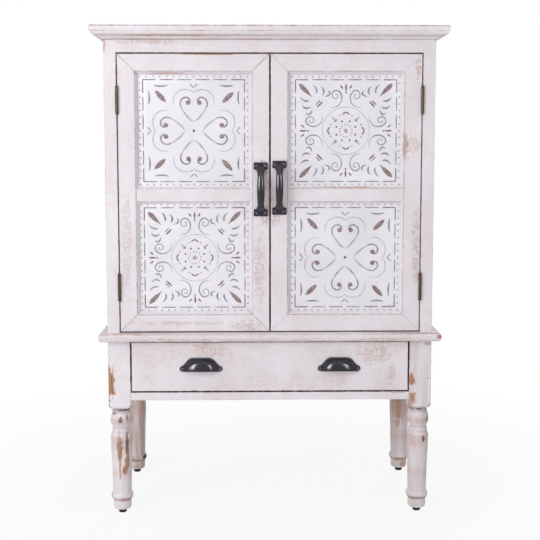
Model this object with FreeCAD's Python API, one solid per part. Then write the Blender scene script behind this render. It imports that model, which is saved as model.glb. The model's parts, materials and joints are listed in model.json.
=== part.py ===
# Accent cabinet: a two-door case with pressed metal door panels, standing on a table-like base
# with one drawer and four turned legs. Millimetres, +Z up, doors and drawer face -Y.
# The origin is on the floor, below the middle of the whole piece's depth, door pulls included.
import FreeCAD, Part
import math
import os

V = FreeCAD.Vector
X_AXIS = V(1, 0, 0)
Y_AXIS = V(0, 1, 0)
Z_AXIS = V(0, 0, 1)

# Whole piece
case_width = 762.0
case_depth = 350.0
base_height = 421.5
waist_thickness = 20.0
case_height = 695.0
top_thickness = 13.5

# Clearances
cut_overrun = 5.0
wood_slip = 0.2
stop_gap = 0.5
magnet_gap = 0.3
pin_slip = 0.05
match_tolerance = 0.01

# Top board and cornice moulding
top_overhang = 27.0
top_edge_easing = 1.5
cornice_height = 17.1
cornice_set_in = 1.5
cornice_quirk_drop = 8.5
cornice_quirk_reach = 18.5
cornice_quirk = 1.2
cornice_toe = 2.0
cornice_ovolo_share = 0.2
cornice_cove_share = 0.14

# Case
stile_width = 28.5
face_thickness = 20.0
top_rail_height = 46.5
side_thickness = 15.0
back_thickness = 3.0
back_lap = 8.0
floor_thickness = 12.0
batten_thickness = 18.0
batten_drop = 16.0
shelf_thickness = 15.0
shelf_height = 315.0
shelf_setback = 3.0
shelf_slip = 1.0
shelf_pin_radius = 2.5
shelf_pin_depth = 8.0
shelf_pin_inset = 45.0
shelf_pin_tab_length = 7.0
shelf_pin_tab_width = 7.0
shelf_pin_tab_height = 9.0
shelf_pin_flat_count = 12
shelf_hole_row_count = 3
shelf_hole_step = 64.0

# Waist board
waist_overhang = 20.0
waist_round = 7.0
waist_quirk_drop = 12.5
waist_quirk = 1.0
waist_foot_inset = 7.5
waist_round_share = 0.2071

# Legs: the neck lies below the rails, the bulb to the column's top below the neck, and the rest
# is measured from the floor
leg_block = 52.0
leg_neck_drop = 30.0
leg_neck_radius = 21.5
leg_bulb_drop = 19.5
leg_bulb_radius = 25.4
leg_groove_drop = 36.0
leg_groove_radius = 20.9
leg_collar_drop = 41.0
leg_collar_thickness = 6.8
leg_collar_radius = 22.9
leg_column_drop = 58.5
leg_column_top_radius = 25.9
leg_column_bottom = 60.0
leg_column_bottom_radius = 21.8
leg_ring_height = 47.0
leg_ring_radius = 26.0
leg_ring_bottom = 35.7
leg_foot_radius = 21.1
leg_foot_round = 5.0
leg_quarter_share = 0.2071
leg_collar_share = 0.14
leg_flat_count = 20
leg_round_step_count = 4
glide_height = 10.0
glide_radius = 9.5
glide_round = 1.5
glide_flat_count = 16

# Base rails
apron_thickness = 18.0
apron_reveal = 6.0
apron_height = 142.0
front_rail_height = 19.0
front_rail_thickness = 24.0

# Doors
door_hinge_gap = 2.5
door_meeting_gap = 3.0
door_bottom_gap = 3.0
door_top_gap = 2.5
door_thickness = face_thickness - stop_gap
member_width = 40.0
bevel_width = 6.5
bevel_depth = 7.5
panel_recess = 9.0
rebate_lap = 8.0
panel_thickness = 0.8
backboard_thickness = 5.0
mid_rail_height = 30.3
mid_rail_rise = 319.5
mid_rail_set_in = 2.0

# Butt hinges
hinge_length = 65.0
hinge_inset = 105.0
hinge_knuckle_radius = 3.5
hinge_knuckle_flat_count = 16
hinge_pin_radius = 1.5
hinge_knuckle_count = 3
hinge_knuckle_gap = 0.2
hinge_leaf_thickness = 1.5
hinge_leaf_gap = 0.3
hinge_leaf_depth = 16.0
hinge_tab_overlap = 1.2
hinge_pin_stand_out = 0.6

# Magnetic catches
catch_width = 40.0
catch_height = 12.0
catch_depth = 16.0
catch_offset = 70.0
catch_pole_width = 32.0
catch_pole_height = 2.0
catch_pole_reach = 1.0
catch_pole_gap = 4.0
strike_thickness = 1.2

# Door pulls
pull_length = 125.0
pull_foot_width = 33.5
pull_foot_height = 17.0
pull_foot_thickness = 3.0
pull_foot_round = 2.0
pull_reach = 31.0
pull_grip_width = 17.0
pull_grip_thickness = 10.0
pull_neck_width = 12.0
pull_neck_thickness = 8.0
pull_root_width = 25.0
pull_root_thickness = 6.0
pull_screw_spread = 21.0
pull_grip_flat_count = 8
# Stations from the foot to the middle: height as a share of the free length, reach as a share of
# the grip's own, width from neck (0) to root (1) or to grip (-1), and lean in degrees
pull_arch_shares = [
    (1.1, 0.06, 1.0, 80),
    (1.0, 0.2, 0.75, 70),
    (0.9, 0.42, 0.25, 58),
    (0.78, 0.64, 0.0, 42),
    (0.58, 0.85, -0.35, 22),
    (0.3, 0.97, -0.85, 8),
]
right_pull_rise = 336.5
left_pull_rise = 333.0

# Cup pulls on the drawer
cup_length = 102.0
cup_height = 34.0
cup_reach = 22.0
cup_plate_thickness = 2.0
cup_wall = 1.8
cup_ear_radius = 7.2
cup_rim = 4.0
cup_crown_half_width = 21.0
cup_flank_half_width = 34.0
cup_flank_height = 23.0
cup_shoulder_share = 0.16
cup_round_step_count = 3
cup_flat_count = 20
cup_spacing = 325.5
cup_rise = 46.3

# Screws of the pulls
screw_head_radius = 2.6
screw_head_height = 1.2
screw_shank_radius = 1.3
screw_length = 12.0
screw_slip = 0.1
screw_flat_count = 8

# Drawer
drawer_side_gap = 3.0
drawer_bottom_gap = 3.0
drawer_top_gap = 3.0
drawer_front_thickness = 18.0
drawer_wall = 12.0
drawer_back_gap = 23.0
drawer_box_drop = 21.0
drawer_box_lift = 11.0
drawer_groove_lift = 8.0
drawer_groove_depth = 6.0
drawer_base_thickness = 4.0

# Drawer slides
slide_height = 35.0
slide_depth = 12.7
slide_metal = 1.2
slide_slip = 0.4
slide_setback = 24.0
slide_back_gap = 2.0
slide_lift = 28.0
slide_rail_shortfall = 20.0

# Planes that the pieces share
half_width = case_width / 2
front = pull_reach - (case_depth + pull_reach) / 2
back = front + case_depth
waist_top = base_height + waist_thickness
case_top = waist_top + case_height
top_top = case_top + top_thickness
opening_half = half_width - stile_width
inside_half = half_width - side_thickness
door_outer = opening_half - door_hinge_gap
door_inner = door_meeting_gap / 2
door_low = waist_top + door_bottom_gap
rail_low = case_top - top_rail_height
door_high = rail_low - door_top_gap
leg_inner = half_width - leg_block
rail_bottom = base_height - apron_height
leg_neck_height = rail_bottom - leg_neck_drop
apron_front = back - apron_reveal - apron_thickness
drawer_low = rail_bottom + front_rail_height + drawer_bottom_gap
drawer_high = base_height - drawer_top_gap
hinge_x = opening_half - door_hinge_gap / 2
hinge_y = front - hinge_knuckle_radius
hinge_leaf_mortise = hinge_leaf_thickness + (hinge_leaf_gap - door_hinge_gap) / 2
sides = {"left": -1, "right": 1}
parts = {}


def box(x_low, x_high, y_low, y_high, z_low, z_high):
    """Upright block between two corners, given in either order along X."""
    left = min(x_low, x_high)
    size_x = abs(x_high - x_low)
    return Part.makeBox(size_x, y_high - y_low, z_high - z_low, V(left, y_low, z_low))


def bulge(start, end, share):
    """Point beside the middle of a chord, so far to its left as a share of its length."""
    mid = ((start[0] + end[0]) / 2, (start[1] + end[1]) / 2)
    run = (end[0] - start[0], end[1] - start[1])
    return (mid[0] - run[1] * share, mid[1] + run[0] * share)


def outline(steps, place):
    """Closed face from a list of points; a step of two points is an arc through the first."""
    first = steps[0]
    here = first
    edges = []
    for step in steps[1:] + [first]:
        if isinstance(step[0], tuple):
            through, end = step
            edges.append(Part.Arc(place(*here), place(*through), place(*end)).toShape())
        else:
            end = step
            edges.append(Part.LineSegment(place(*here), place(*end)).toShape())
        here = end
    return Part.Face(Part.Wire(edges))


def along_x(steps, x_low, x_high):
    """Outline in (y, z) run along X."""
    return outline(steps, lambda y, z: V(x_low, y, z)).extrude(V(x_high - x_low, 0, 0))


def along_y(steps, y_low, y_high):
    """Outline in (x, z) run along Y."""
    return outline(steps, lambda x, z: V(x, y_low, z)).extrude(V(0, y_high - y_low, 0))


def along_z(steps, z_low, z_high):
    """Outline in (x, y) run along Z."""
    return outline(steps, lambda x, y: V(x, y, z_low)).extrude(V(0, 0, z_high - z_low))


def round_points(start, through, end, steps):
    """Points after the start on the arc through three points, evenly spaced by a count of steps."""
    arc = Part.Arc(V(*start, 0), V(*through, 0), V(*end, 0)).toShape()
    first, last = arc.ParameterRange
    points = []
    for index in range(1, steps + 1):
        point = arc.valueAt(first + (last - first) * index / steps)
        points.append((point.x, point.y))
    return points


def turning(points, flats, place):
    """Turned solid with flat sides: points of (radius, distance along the axis) on each side.

    The points start and end on the axis. The place function puts two coordinates across the
    axis and one along it into space.
    """
    rings = []
    for radius, along in points:
        ring = []
        for index in range(flats):
            angle = 2 * math.pi * index / flats
            ring.append(place(radius * math.cos(angle), radius * math.sin(angle), along))
        rings.append(ring)
    faces = []
    for near, far in zip(rings[1:-2], rings[2:-1]):
        for index in range(flats):
            after = (index + 1) % flats
            corners = [near[index], near[after], far[after], far[index], near[index]]
            faces.append(Part.Face(Part.makePolygon(corners)))
    for ring in (rings[1], rings[-2]):
        faces.append(Part.Face(Part.makePolygon(ring + ring[:1])))
    return outward(Part.makeSolid(Part.makeShell(faces)))


def outward(solid):
    """The solid with its faces looking outwards."""
    if solid.Volume < 0:
        solid.reverse()
    return solid


def skin(rings):
    """Solid through closed rings of as many points each, with a flat cap at both ends."""
    faces = []
    count = len(rings[0])
    for near, far in zip(rings[:-1], rings[1:]):
        for index in range(count):
            after = (index + 1) % count
            lower = [near[index], near[after], far[index], near[index]]
            upper = [near[after], far[after], far[index], near[after]]
            faces.append(Part.Face(Part.makePolygon(lower)))
            faces.append(Part.Face(Part.makePolygon(upper)))
    for ring in (rings[0], rings[-1]):
        faces.append(Part.Face(Part.makePolygon(ring + ring[:1])))
    return outward(Part.makeSolid(Part.makeShell(faces)))


def peg(radius, length, flats, start, direction):
    """Round peg with flat sides, from a start point along one of the axes."""
    points = [(0, 0), (radius, 0), (radius, length), (0, length)]
    return turning(points, flats, axis_place(start, direction))


def axis_place(start, direction):
    """Rule that puts a turning's own coordinates on a line along one of the axes."""
    if direction == X_AXIS:
        return lambda a, b, along: start + V(along, a, b)
    if direction == Y_AXIS:
        return lambda a, b, along: start + V(a, along, b)
    return lambda a, b, along: start + V(a, b, along)


def mirrored(shape):
    """The same shape on the other side of the middle plane."""
    return shape.mirror(V(0, 0, 0), X_AXIS)


def for_side(shape, side):
    """A shape drawn for the right side, put on the side asked for."""
    if sides[side] < 0:
        return mirrored(shape)
    return shape


def rod(radius, length, start, direction):
    """Round bar from a start point along a direction."""
    return Part.makeCylinder(radius, length, start, direction)


# Top board, cornice and case


def cornice_profile():
    """Ovolo over a cove, in (reach out from the case, height), from the wall plane outwards."""
    lip = (top_overhang - cornice_set_in, case_top)
    quirk = (cornice_quirk_reach, case_top - cornice_quirk_drop)
    cove_top = (cornice_quirk_reach - cornice_quirk, case_top - cornice_quirk_drop)
    toe = (cornice_toe, case_top - cornice_height)
    return [
        (0, case_top),
        lip,
        (bulge(lip, quirk, cornice_ovolo_share), quirk),
        cove_top,
        (bulge(cove_top, toe, -cornice_cove_share), toe),
        (0, case_top - cornice_height),
    ]


def moved_outline(steps, change):
    """The outline with each of its points changed by one rule."""
    moved = []
    for step in steps:
        if isinstance(step[0], tuple):
            moved.append((change(*step[0]), change(*step[1])))
        else:
            moved.append(change(*step))
    return moved


def build_cornice():
    """Front length and two side returns, mitred at the front corners."""
    steps = cornice_profile()
    far = half_width + top_overhang
    low = case_top - cornice_height
    front_run = along_x(moved_outline(steps, lambda out, z: (front - out, z)), -far, far)
    corner_cut = [
        (-half_width, front),
        (half_width, front),
        (half_width + top_overhang, front - top_overhang),
        (-half_width - top_overhang, front - top_overhang),
    ]
    front_run = front_run.common(along_z(corner_cut, low, case_top))
    side_steps = moved_outline(steps, lambda out, z: (half_width + out, z))
    side_run = along_y(side_steps, front - top_overhang, back)
    side_cut = [
        (half_width, front),
        (half_width + top_overhang, front - top_overhang),
        (half_width + top_overhang, back),
        (half_width, back),
    ]
    side_run = side_run.common(along_z(side_cut, low, case_top))
    parts["cornice"] = Part.makeCompound([front_run, side_run, mirrored(side_run)])


def build_top_board():
    """Plain board with eased top edges at the front and the sides."""
    far = half_width + top_overhang
    board = box(-far, far, front - top_overhang, back, case_top, top_top)
    edges = [edge for edge in board.Edges if is_top_show_edge(edge)]
    parts["top_board"] = board.makeChamfer(top_edge_easing, edges)


def is_top_show_edge(edge):
    """True for the top board's upper edges, apart from the one at the wall."""
    middle = edge.CenterOfMass
    at_top = abs(middle.z - top_top) < match_tolerance
    at_wall = abs(middle.y - back) < match_tolerance
    return at_top and not at_wall


def build_case_shell():
    """Sides, back, floor, face frame and the batten that the doors close against."""
    wall_front = front + face_thickness
    side = box(inside_half, half_width, wall_front, back, waist_top, case_top)
    rebate = box(
        inside_half - cut_overrun,
        inside_half + back_lap,
        back - back_thickness,
        back + cut_overrun,
        waist_top - cut_overrun,
        case_top + cut_overrun,
    )
    side = side.cut(rebate)
    for hole in shelf_holes():
        side = side.cut(hole)
    stile = box(opening_half, half_width, front, wall_front, waist_top, case_top)
    for mortise in hinge_mortises():
        stile = stile.cut(mortise)
    for name in sides:
        parts["case_side_" + name] = for_side(side, name)
        parts["face_stile_" + name] = for_side(stile, name)
    parts["face_top_rail"] = box(
        -opening_half, opening_half, front, wall_front, rail_low, case_top
    )
    back_half = inside_half + back_lap - wood_slip
    parts["case_back"] = box(-back_half, back_half, back - back_thickness, back, waist_top, case_top)
    parts["case_bottom"] = box(
        -inside_half,
        inside_half,
        wall_front,
        back - back_thickness,
        waist_top,
        waist_top + floor_thickness,
    )
    parts["door_stop_batten"] = box(
        -inside_half,
        inside_half,
        wall_front,
        wall_front + batten_thickness,
        rail_low - batten_drop,
        case_top,
    )


# Shelf and its pins


def shelf_pin_places():
    """Depths of the two pins on a side, behind the case front."""
    return [
        front + face_thickness + shelf_pin_inset,
        back - back_thickness - shelf_pin_inset,
    ]


def shelf_level():
    """Height of the shelf's underside, which rests on the pins."""
    return waist_top + shelf_height


def pin_axis_height():
    """Height of the pin holes in use: the top of the pin's tab meets the shelf."""
    return shelf_level() - shelf_pin_tab_height / 2


def shelf_holes():
    """Rows of pin holes in the right side, evenly above and below the shelf in use."""
    holes = []
    for place in shelf_pin_places():
        for row in range(shelf_hole_row_count):
            rise = (row - (shelf_hole_row_count - 1) / 2) * shelf_hole_step
            start = V(inside_half - cut_overrun, place, pin_axis_height() + rise)
            depth = shelf_pin_depth + cut_overrun
            holes.append(peg(shelf_pin_radius, depth, shelf_pin_flat_count, start, X_AXIS))
    return holes


def build_shelf():
    """Loose shelf on four pins, each a round peg with a flat tab under the shelf."""
    edge_front = front + face_thickness + shelf_setback
    half = inside_half - shelf_slip
    parts["shelf"] = box(
        -half,
        half,
        edge_front,
        back - back_thickness - shelf_slip,
        shelf_level(),
        shelf_level() + shelf_thickness,
    )
    pins = []
    for place in shelf_pin_places():
        peg_start = V(inside_half - shelf_pin_tab_length, place, pin_axis_height())
        peg_length = shelf_pin_tab_length + shelf_pin_depth - wood_slip
        shank = peg(
            shelf_pin_radius - pin_slip, peg_length, shelf_pin_flat_count, peg_start, X_AXIS
        )
        tab = box(
            inside_half - shelf_pin_tab_length,
            inside_half,
            place - shelf_pin_tab_width / 2,
            place + shelf_pin_tab_width / 2,
            shelf_level() - shelf_pin_tab_height,
            shelf_level(),
        )
        pin = shank.fuse(tab).removeSplitter()
        pins.append(pin)
        pins.append(mirrored(pin))
    parts["shelf_pins"] = Part.makeCompound(pins)


# Base: waist board, legs and rails


def waist_profile(reach):
    """Moulded edge in (distance, height), rounded above and set back in two steps below."""
    round_top = (reach - waist_round, waist_top)
    round_end = (reach, waist_top - waist_round)
    quirk = (reach, waist_top - waist_quirk_drop)
    ovolo_top = (reach - waist_quirk, waist_top - waist_quirk_drop)
    ovolo_end = (reach - waist_foot_inset, base_height)
    return [
        round_top,
        (bulge(round_top, round_end, waist_round_share), round_end),
        quirk,
        ovolo_top,
        (bulge(ovolo_top, ovolo_end, waist_round_share), ovolo_end),
    ]


def build_waist_board():
    """One board whose moulded edge turns both front corners and runs out at the wall."""
    side_reach = half_width + waist_overhang
    right = waist_profile(side_reach)
    left = mirror_steps(right)
    across = along_y(right + left, front - waist_overhang, back)
    depth_reach = waist_overhang - front
    front_edge = moved_outline(waist_profile(depth_reach), lambda out, z: (-out, z))
    run = front_edge + [(back, base_height), (back, waist_top)]
    parts["waist_board"] = across.common(along_x(run, -side_reach, side_reach))


def mirror_steps(steps):
    """The outline's other half, in reverse order and mirrored, so that the two close up."""
    ends = [step[1] if isinstance(step[0], tuple) else step for step in steps]
    flipped = []
    for index in range(len(steps) - 1, -1, -1):
        end = (-ends[index][0], ends[index][1])
        later = steps[index + 1] if index + 1 < len(steps) else None
        if later is not None and isinstance(later[0], tuple):
            through = (-later[0][0], later[0][1])
            flipped.append((through, end))
        else:
            flipped.append(end)
    return flipped


def shoulder_points():
    """Top of the turning in (radius, height): wider than the block, then rounded to the neck."""
    half_diagonal = leg_block / math.sqrt(2)
    shoulder_radius = half_diagonal - leg_neck_radius + wood_slip
    shoulder = (leg_neck_radius + shoulder_radius, leg_neck_height + shoulder_radius)
    neck = (leg_neck_radius, leg_neck_height)
    return [
        (0, base_height),
        (leg_block, base_height),
        (leg_block, shoulder[1]),
        shoulder,
        *round_points(shoulder, bulge(shoulder, neck, -leg_quarter_share), neck, leg_round_step_count),
        (0, leg_neck_height),
    ]


def column_points():
    """Rest of the turning in (radius, height): bulb, groove, collar, column, ring and foot."""
    neck = (leg_neck_radius, leg_neck_height)
    bulb = (leg_bulb_radius, leg_neck_height - leg_bulb_drop)
    groove = (leg_groove_radius, leg_neck_height - leg_groove_drop)
    collar_top = leg_neck_height - leg_collar_drop
    collar = (leg_collar_radius, collar_top - leg_collar_thickness)
    column = (leg_column_top_radius, leg_neck_height - leg_column_drop)
    collar_round = bulge(collar, column, -leg_collar_share)
    column_end = (leg_column_bottom_radius, leg_column_bottom)
    ring = (leg_ring_radius, leg_ring_height)
    ring_low = (leg_foot_radius, leg_ring_bottom)
    foot = (leg_foot_radius, glide_height + leg_foot_round)
    foot_end = (leg_foot_radius - leg_foot_round, glide_height)
    foot_round = bulge(foot, foot_end, -leg_quarter_share)
    return [
        (0, leg_neck_height),
        neck,
        *round_points(neck, bulb, groove, leg_round_step_count),
        (leg_collar_radius, collar_top),
        collar,
        *round_points(collar, collar_round, column, leg_round_step_count // 2),
        column_end,
        *round_points(column_end, ring, ring_low, leg_round_step_count + 1),
        foot,
        *round_points(foot, foot_round, foot_end, leg_round_step_count // 2),
        (0, glide_height),
    ]


def build_legs():
    """Four legs: a square block with rounded-off shoulders over a turned column."""
    half = leg_block / 2
    blank = box(-half, half, -half, half, leg_neck_height, base_height)
    block = turning(shoulder_points(), leg_flat_count, V).common(blank)
    leg = block.fuse(turning(column_points(), leg_flat_count, V))
    glide_points = [
        (0, glide_height),
        (glide_radius, glide_height),
        (glide_radius, glide_round),
        (glide_radius - glide_round, 0),
        (0, 0),
    ]
    glide = turning(glide_points, glide_flat_count, V)
    glides = []
    rows = {"front": front + half, "rear": back - half}
    for row in rows:
        for name in sides:
            place = V(sides[name] * (half_width - half), rows[row], 0)
            parts["leg_" + row + "_" + name] = leg.translated(place)
            glides.append(glide.translated(place))
    parts["foot_glides"] = Part.makeCompound(glides)


def build_base_rails():
    """Aprons between the legs and the rail under the drawer."""
    outer = half_width - apron_reveal
    apron = box(
        outer - apron_thickness,
        outer,
        front + leg_block,
        back - leg_block,
        rail_bottom,
        base_height,
    )
    for name in sides:
        parts["side_apron_" + name] = for_side(apron, name)
    parts["back_apron"] = box(
        -leg_inner, leg_inner, apron_front, apron_front + apron_thickness, rail_bottom, base_height
    )
    parts["front_bottom_rail"] = box(
        -leg_inner,
        leg_inner,
        front,
        front + front_rail_thickness,
        rail_bottom,
        rail_bottom + front_rail_height,
    )


# Hinges


def hinge_levels():
    """Heights of the hinges' middles, the same distance from both ends of the door."""
    return [door_low + hinge_inset, door_high - hinge_inset]


def hinge_mortises():
    """Shallow seats for the leaves in the right stile's inner edge."""
    seats = []
    for level in hinge_levels():
        seats.append(
            box(
                opening_half - cut_overrun,
                opening_half + hinge_leaf_mortise,
                front - cut_overrun,
                front + hinge_leaf_depth,
                level - hinge_length / 2,
                level + hinge_length / 2,
            )
        )
    return seats


def knuckle_spans(level):
    """Low and high end of each knuckle of one hinge, from the bottom up."""
    pitch = hinge_length / hinge_knuckle_count
    low = level - hinge_length / 2
    spans = []
    for index in range(hinge_knuckle_count):
        start = low + pitch * index
        spans.append((start + hinge_knuckle_gap / 2, start + pitch - hinge_knuckle_gap / 2))
    return spans


def hinge_leaf(level, towards, first_knuckle):
    """Leaf on one side of the right door's pin, with every second knuckle from the first."""
    leaf_gap = door_hinge_gap / 2 + hinge_leaf_mortise - hinge_leaf_thickness
    near = hinge_x + towards * leaf_gap
    far = hinge_x + towards * (leaf_gap + hinge_leaf_thickness)
    plate_front = hinge_y + hinge_knuckle_radius + hinge_knuckle_gap
    leaf = box(
        near,
        far,
        plate_front,
        front + hinge_leaf_depth,
        level - hinge_length / 2,
        level + hinge_length / 2,
    )
    for low, high in knuckle_spans(level)[first_knuckle::2]:
        foot = V(hinge_x, hinge_y, low)
        barrel = peg(hinge_knuckle_radius, high - low, hinge_knuckle_flat_count, foot, Z_AXIS)
        tab_front = plate_front - hinge_knuckle_gap - hinge_tab_overlap
        tab = box(near, far, tab_front, plate_front + hinge_knuckle_gap, low, high)
        bore_radius = hinge_pin_radius + pin_slip
        bore_start = V(hinge_x, hinge_y, low - cut_overrun)
        bore = rod(bore_radius, high - low + 2 * cut_overrun, bore_start, Z_AXIS)
        leaf = leaf.fuse(barrel.fuse(tab)).cut(bore)
    return leaf.removeSplitter()


def build_hinges():
    """Two butt hinges a door: leaves on the face frame, leaves on the door, and loose pins."""
    pins = []
    for name in sides:
        frame_leaves = []
        door_leaves = []
        for level in hinge_levels():
            frame_leaves.append(for_side(hinge_leaf(level, 1, 0), name))
            door_leaves.append(for_side(hinge_leaf(level, -1, 1), name))
            pin_length = hinge_length + 2 * hinge_pin_stand_out
            start = V(hinge_x, hinge_y, level - pin_length / 2)
            pins.append(for_side(rod(hinge_pin_radius, pin_length, start, Z_AXIS), name))
        parts["hinge_frame_leaves_" + name] = Part.makeCompound(frame_leaves)
        parts["door_" + name + "_hinge_leaves"] = Part.makeCompound(door_leaves)
    parts["hinge_pins"] = Part.makeCompound(pins)


# Doors, drawn for the right side: the hinge stile is at the larger X


def member_section():
    """Door frame section in (distance from the door's edge, depth behind its face)."""
    sight = member_width + bevel_width
    lap_edge = sight - rebate_lap
    return [
        (0, 0),
        (member_width, 0),
        (sight, bevel_depth),
        (sight, panel_recess),
        (lap_edge, panel_recess),
        (lap_edge, door_thickness),
        (0, door_thickness),
    ]


def mitred_rail(edge, inward):
    """Top or bottom rail whose outer edge lies at a height, with both ends mitred."""
    section = moved_outline(member_section(), lambda u, v: (front + v, edge + inward * u))
    bar = along_x(section, door_inner, door_outer)
    reach = member_width + bevel_width
    wedge = [
        (door_inner, edge),
        (door_outer, edge),
        (door_outer - reach, edge + inward * reach),
        (door_inner + reach, edge + inward * reach),
    ]
    return bar.common(along_y(wedge, front, front + door_thickness))


def mitred_stile(edge, inward):
    """Upright member whose outer edge lies at an X, with both ends mitred."""
    section = moved_outline(member_section(), lambda u, v: (edge + inward * u, front + v))
    bar = along_z(section, door_low, door_high)
    reach = member_width + bevel_width
    wedge = [
        (edge, door_low),
        (edge, door_high),
        (edge + inward * reach, door_high - reach),
        (edge + inward * reach, door_low + reach),
    ]
    return bar.common(along_y(wedge, front, front + door_thickness))


def mid_rail_levels():
    """Lower and upper edge of the middle rail's flat face."""
    middle = door_low + mid_rail_rise
    return middle - mid_rail_height / 2, middle + mid_rail_height / 2


def build_mid_rail(stiles):
    """Middle rail with bevelled edges, its ends scribed over the stiles' bevels."""
    low, high = mid_rail_levels()
    depth = bevel_depth - mid_rail_set_in
    spread = bevel_width * depth / bevel_depth
    face = front + mid_rail_set_in
    section = [
        (face, low),
        (face, high),
        (front + bevel_depth, high + spread),
        (front + panel_recess, high + spread),
        (front + panel_recess, low - spread),
        (front + bevel_depth, low - spread),
    ]
    bar = along_x(section, door_inner + member_width, door_outer - member_width)
    for stile in stiles:
        bar = bar.cut(stile)
    return bar


def build_doors():
    """Both doors, frame, panels, backboard, strike plate and pull, made once and mirrored."""
    hinge_stile = mitred_stile(door_outer, -1)
    meeting_stile = mitred_stile(door_inner, 1)
    mid_rail = build_mid_rail([hinge_stile, meeting_stile])
    for mortise in door_hinge_seats():
        hinge_stile = hinge_stile.cut(mortise)
    meeting_stile = meeting_stile.removeSplitter()
    lap_edge = member_width + bevel_width - rebate_lap + wood_slip
    panel_x = (door_inner + lap_edge, door_outer - lap_edge)
    panel_front = front + panel_recess
    panel_back = panel_front + panel_thickness
    rail_from, rail_to = mid_rail_levels()
    backboard = box(
        *panel_x,
        panel_back,
        panel_back + backboard_thickness,
        door_low + lap_edge,
        door_high - lap_edge,
    )
    upper = box(
        *panel_x, panel_front, panel_back, rail_to - rebate_lap, door_high - lap_edge
    )
    lower = box(*panel_x, panel_front, panel_back, door_low + lap_edge, rail_from + rebate_lap)
    drawn = {
        "hinge_stile": hinge_stile,
        "meeting_stile": meeting_stile,
        "top_rail": mitred_rail(door_high, -1),
        "bottom_rail": mitred_rail(door_low, 1),
        "mid_rail": mid_rail,
        "panel_upper": upper,
        "panel_lower": lower,
        "backboard": backboard,
        "strike_plate": strike_plate(),
    }
    for name in sides:
        for piece in drawn:
            parts["door_" + name + "_" + piece] = for_side(drawn[piece], name)


def door_hinge_seats():
    """Shallow seats for the leaves in the right door's hinge edge."""
    seats = []
    for level in hinge_levels():
        seats.append(
            box(
                door_outer - hinge_leaf_mortise,
                door_outer + cut_overrun,
                front - cut_overrun,
                front + hinge_leaf_depth,
                level - hinge_length / 2,
                level + hinge_length / 2,
            )
        )
    return seats


# Magnetic catches


def catch_level():
    """Top of the catches, which hang under the batten."""
    return rail_low - batten_drop


def strike_plate():
    """Steel plate on the back of the door, opposite the catch."""
    return box(
        catch_offset - catch_width / 2,
        catch_offset + catch_width / 2,
        front + door_thickness,
        front + door_thickness + strike_thickness,
        catch_level() - catch_height,
        catch_level(),
    )


def build_catches():
    """Two catches: a moulded body with a pair of pole strips at its face."""
    face = front + door_thickness + strike_thickness + magnet_gap
    catches = []
    for name in sides:
        body = box(
            catch_offset - catch_width / 2,
            catch_offset + catch_width / 2,
            face + catch_pole_reach,
            face + catch_depth,
            catch_level() - catch_height,
            catch_level(),
        )
        for direction in (-1, 1):
            middle = catch_level() - catch_height / 2 + direction * catch_pole_gap / 2
            pole = box(
                catch_offset - catch_pole_width / 2,
                catch_offset + catch_pole_width / 2,
                face,
                face + catch_pole_reach,
                middle - catch_pole_height / 2,
                middle + catch_pole_height / 2,
            )
            body = body.fuse(pole)
        catches.append(for_side(body, name))
    parts["magnetic_catches"] = Part.makeCompound(catches)


# Door pulls


def grip_station(height, reach, width, thickness, tilt):
    """Oval ring of the grip, leaning by a tilt in degrees about X, in the pull's own frame."""
    lean = math.radians(tilt)
    ring = []
    for index in range(pull_grip_flat_count):
        angle = 2 * math.pi * index / pull_grip_flat_count
        across = width / 2 * math.cos(angle)
        out = thickness / 2 * math.sin(angle)
        ring.append(V(across, out * math.cos(lean) - reach, height + out * math.sin(lean)))
    return ring


def grip_stations():
    """Rings along the grip from its lower foot to its upper one, evenly arched."""
    foot_inner = pull_length / 2 - pull_foot_height
    top_reach = pull_reach - pull_grip_thickness / 2
    side = []
    for height_share, reach_share, width_share, tilt in pull_arch_shares:
        width = pull_neck_width + (pull_root_width - pull_neck_width) * width_share
        if width_share < 0:
            width = pull_neck_width - (pull_grip_width - pull_neck_width) * width_share
        thickness = pull_root_thickness
        if width_share <= 0:
            rise = pull_grip_thickness - pull_neck_thickness
            thickness = pull_neck_thickness - rise * width_share
        side.append((foot_inner * height_share, top_reach * reach_share, width, thickness, tilt))
    lower = [grip_station(-h, reach, w, t, tilt) for h, reach, w, t, tilt in side]
    middle = grip_station(0, top_reach, pull_grip_width, pull_grip_thickness, 0)
    upper = [grip_station(h, reach, w, t, -tilt) for h, reach, w, t, tilt in reversed(side)]
    return lower + [middle] + upper


def pull_shape():
    """Arched cast pull on two flat feet; its back lies on y = 0 and its middle on z = 0."""
    foot_inner = pull_length / 2 - pull_foot_height
    shape = skin(grip_stations())
    for end in (-1, 1):
        low = min(end * foot_inner, end * pull_length / 2)
        foot = box(
            -pull_foot_width / 2,
            pull_foot_width / 2,
            -pull_foot_thickness,
            0,
            low,
            low + pull_foot_height,
        )
        corners = [edge for edge in foot.Edges if runs_front_to_back(edge)]
        shape = shape.fuse(foot.makeFillet(pull_foot_round, corners))
    behind = box(-pull_foot_width, pull_foot_width, 0, pull_reach, -pull_length, pull_length)
    return shape.cut(behind)


def runs_front_to_back(edge):
    """True for an edge along Y."""
    start, end = (vertex.Point for vertex in edge.Vertexes)
    return abs(end.y - start.y) > abs(end.x - start.x) + abs(end.z - start.z)


def pull_screw_places():
    """Screw places in the pull's own frame, two in each foot."""
    rise = pull_length / 2 - pull_foot_height / 2
    half = pull_screw_spread / 2
    return [(x, z) for x in (-half, half) for z in (-rise, rise)]


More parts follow.
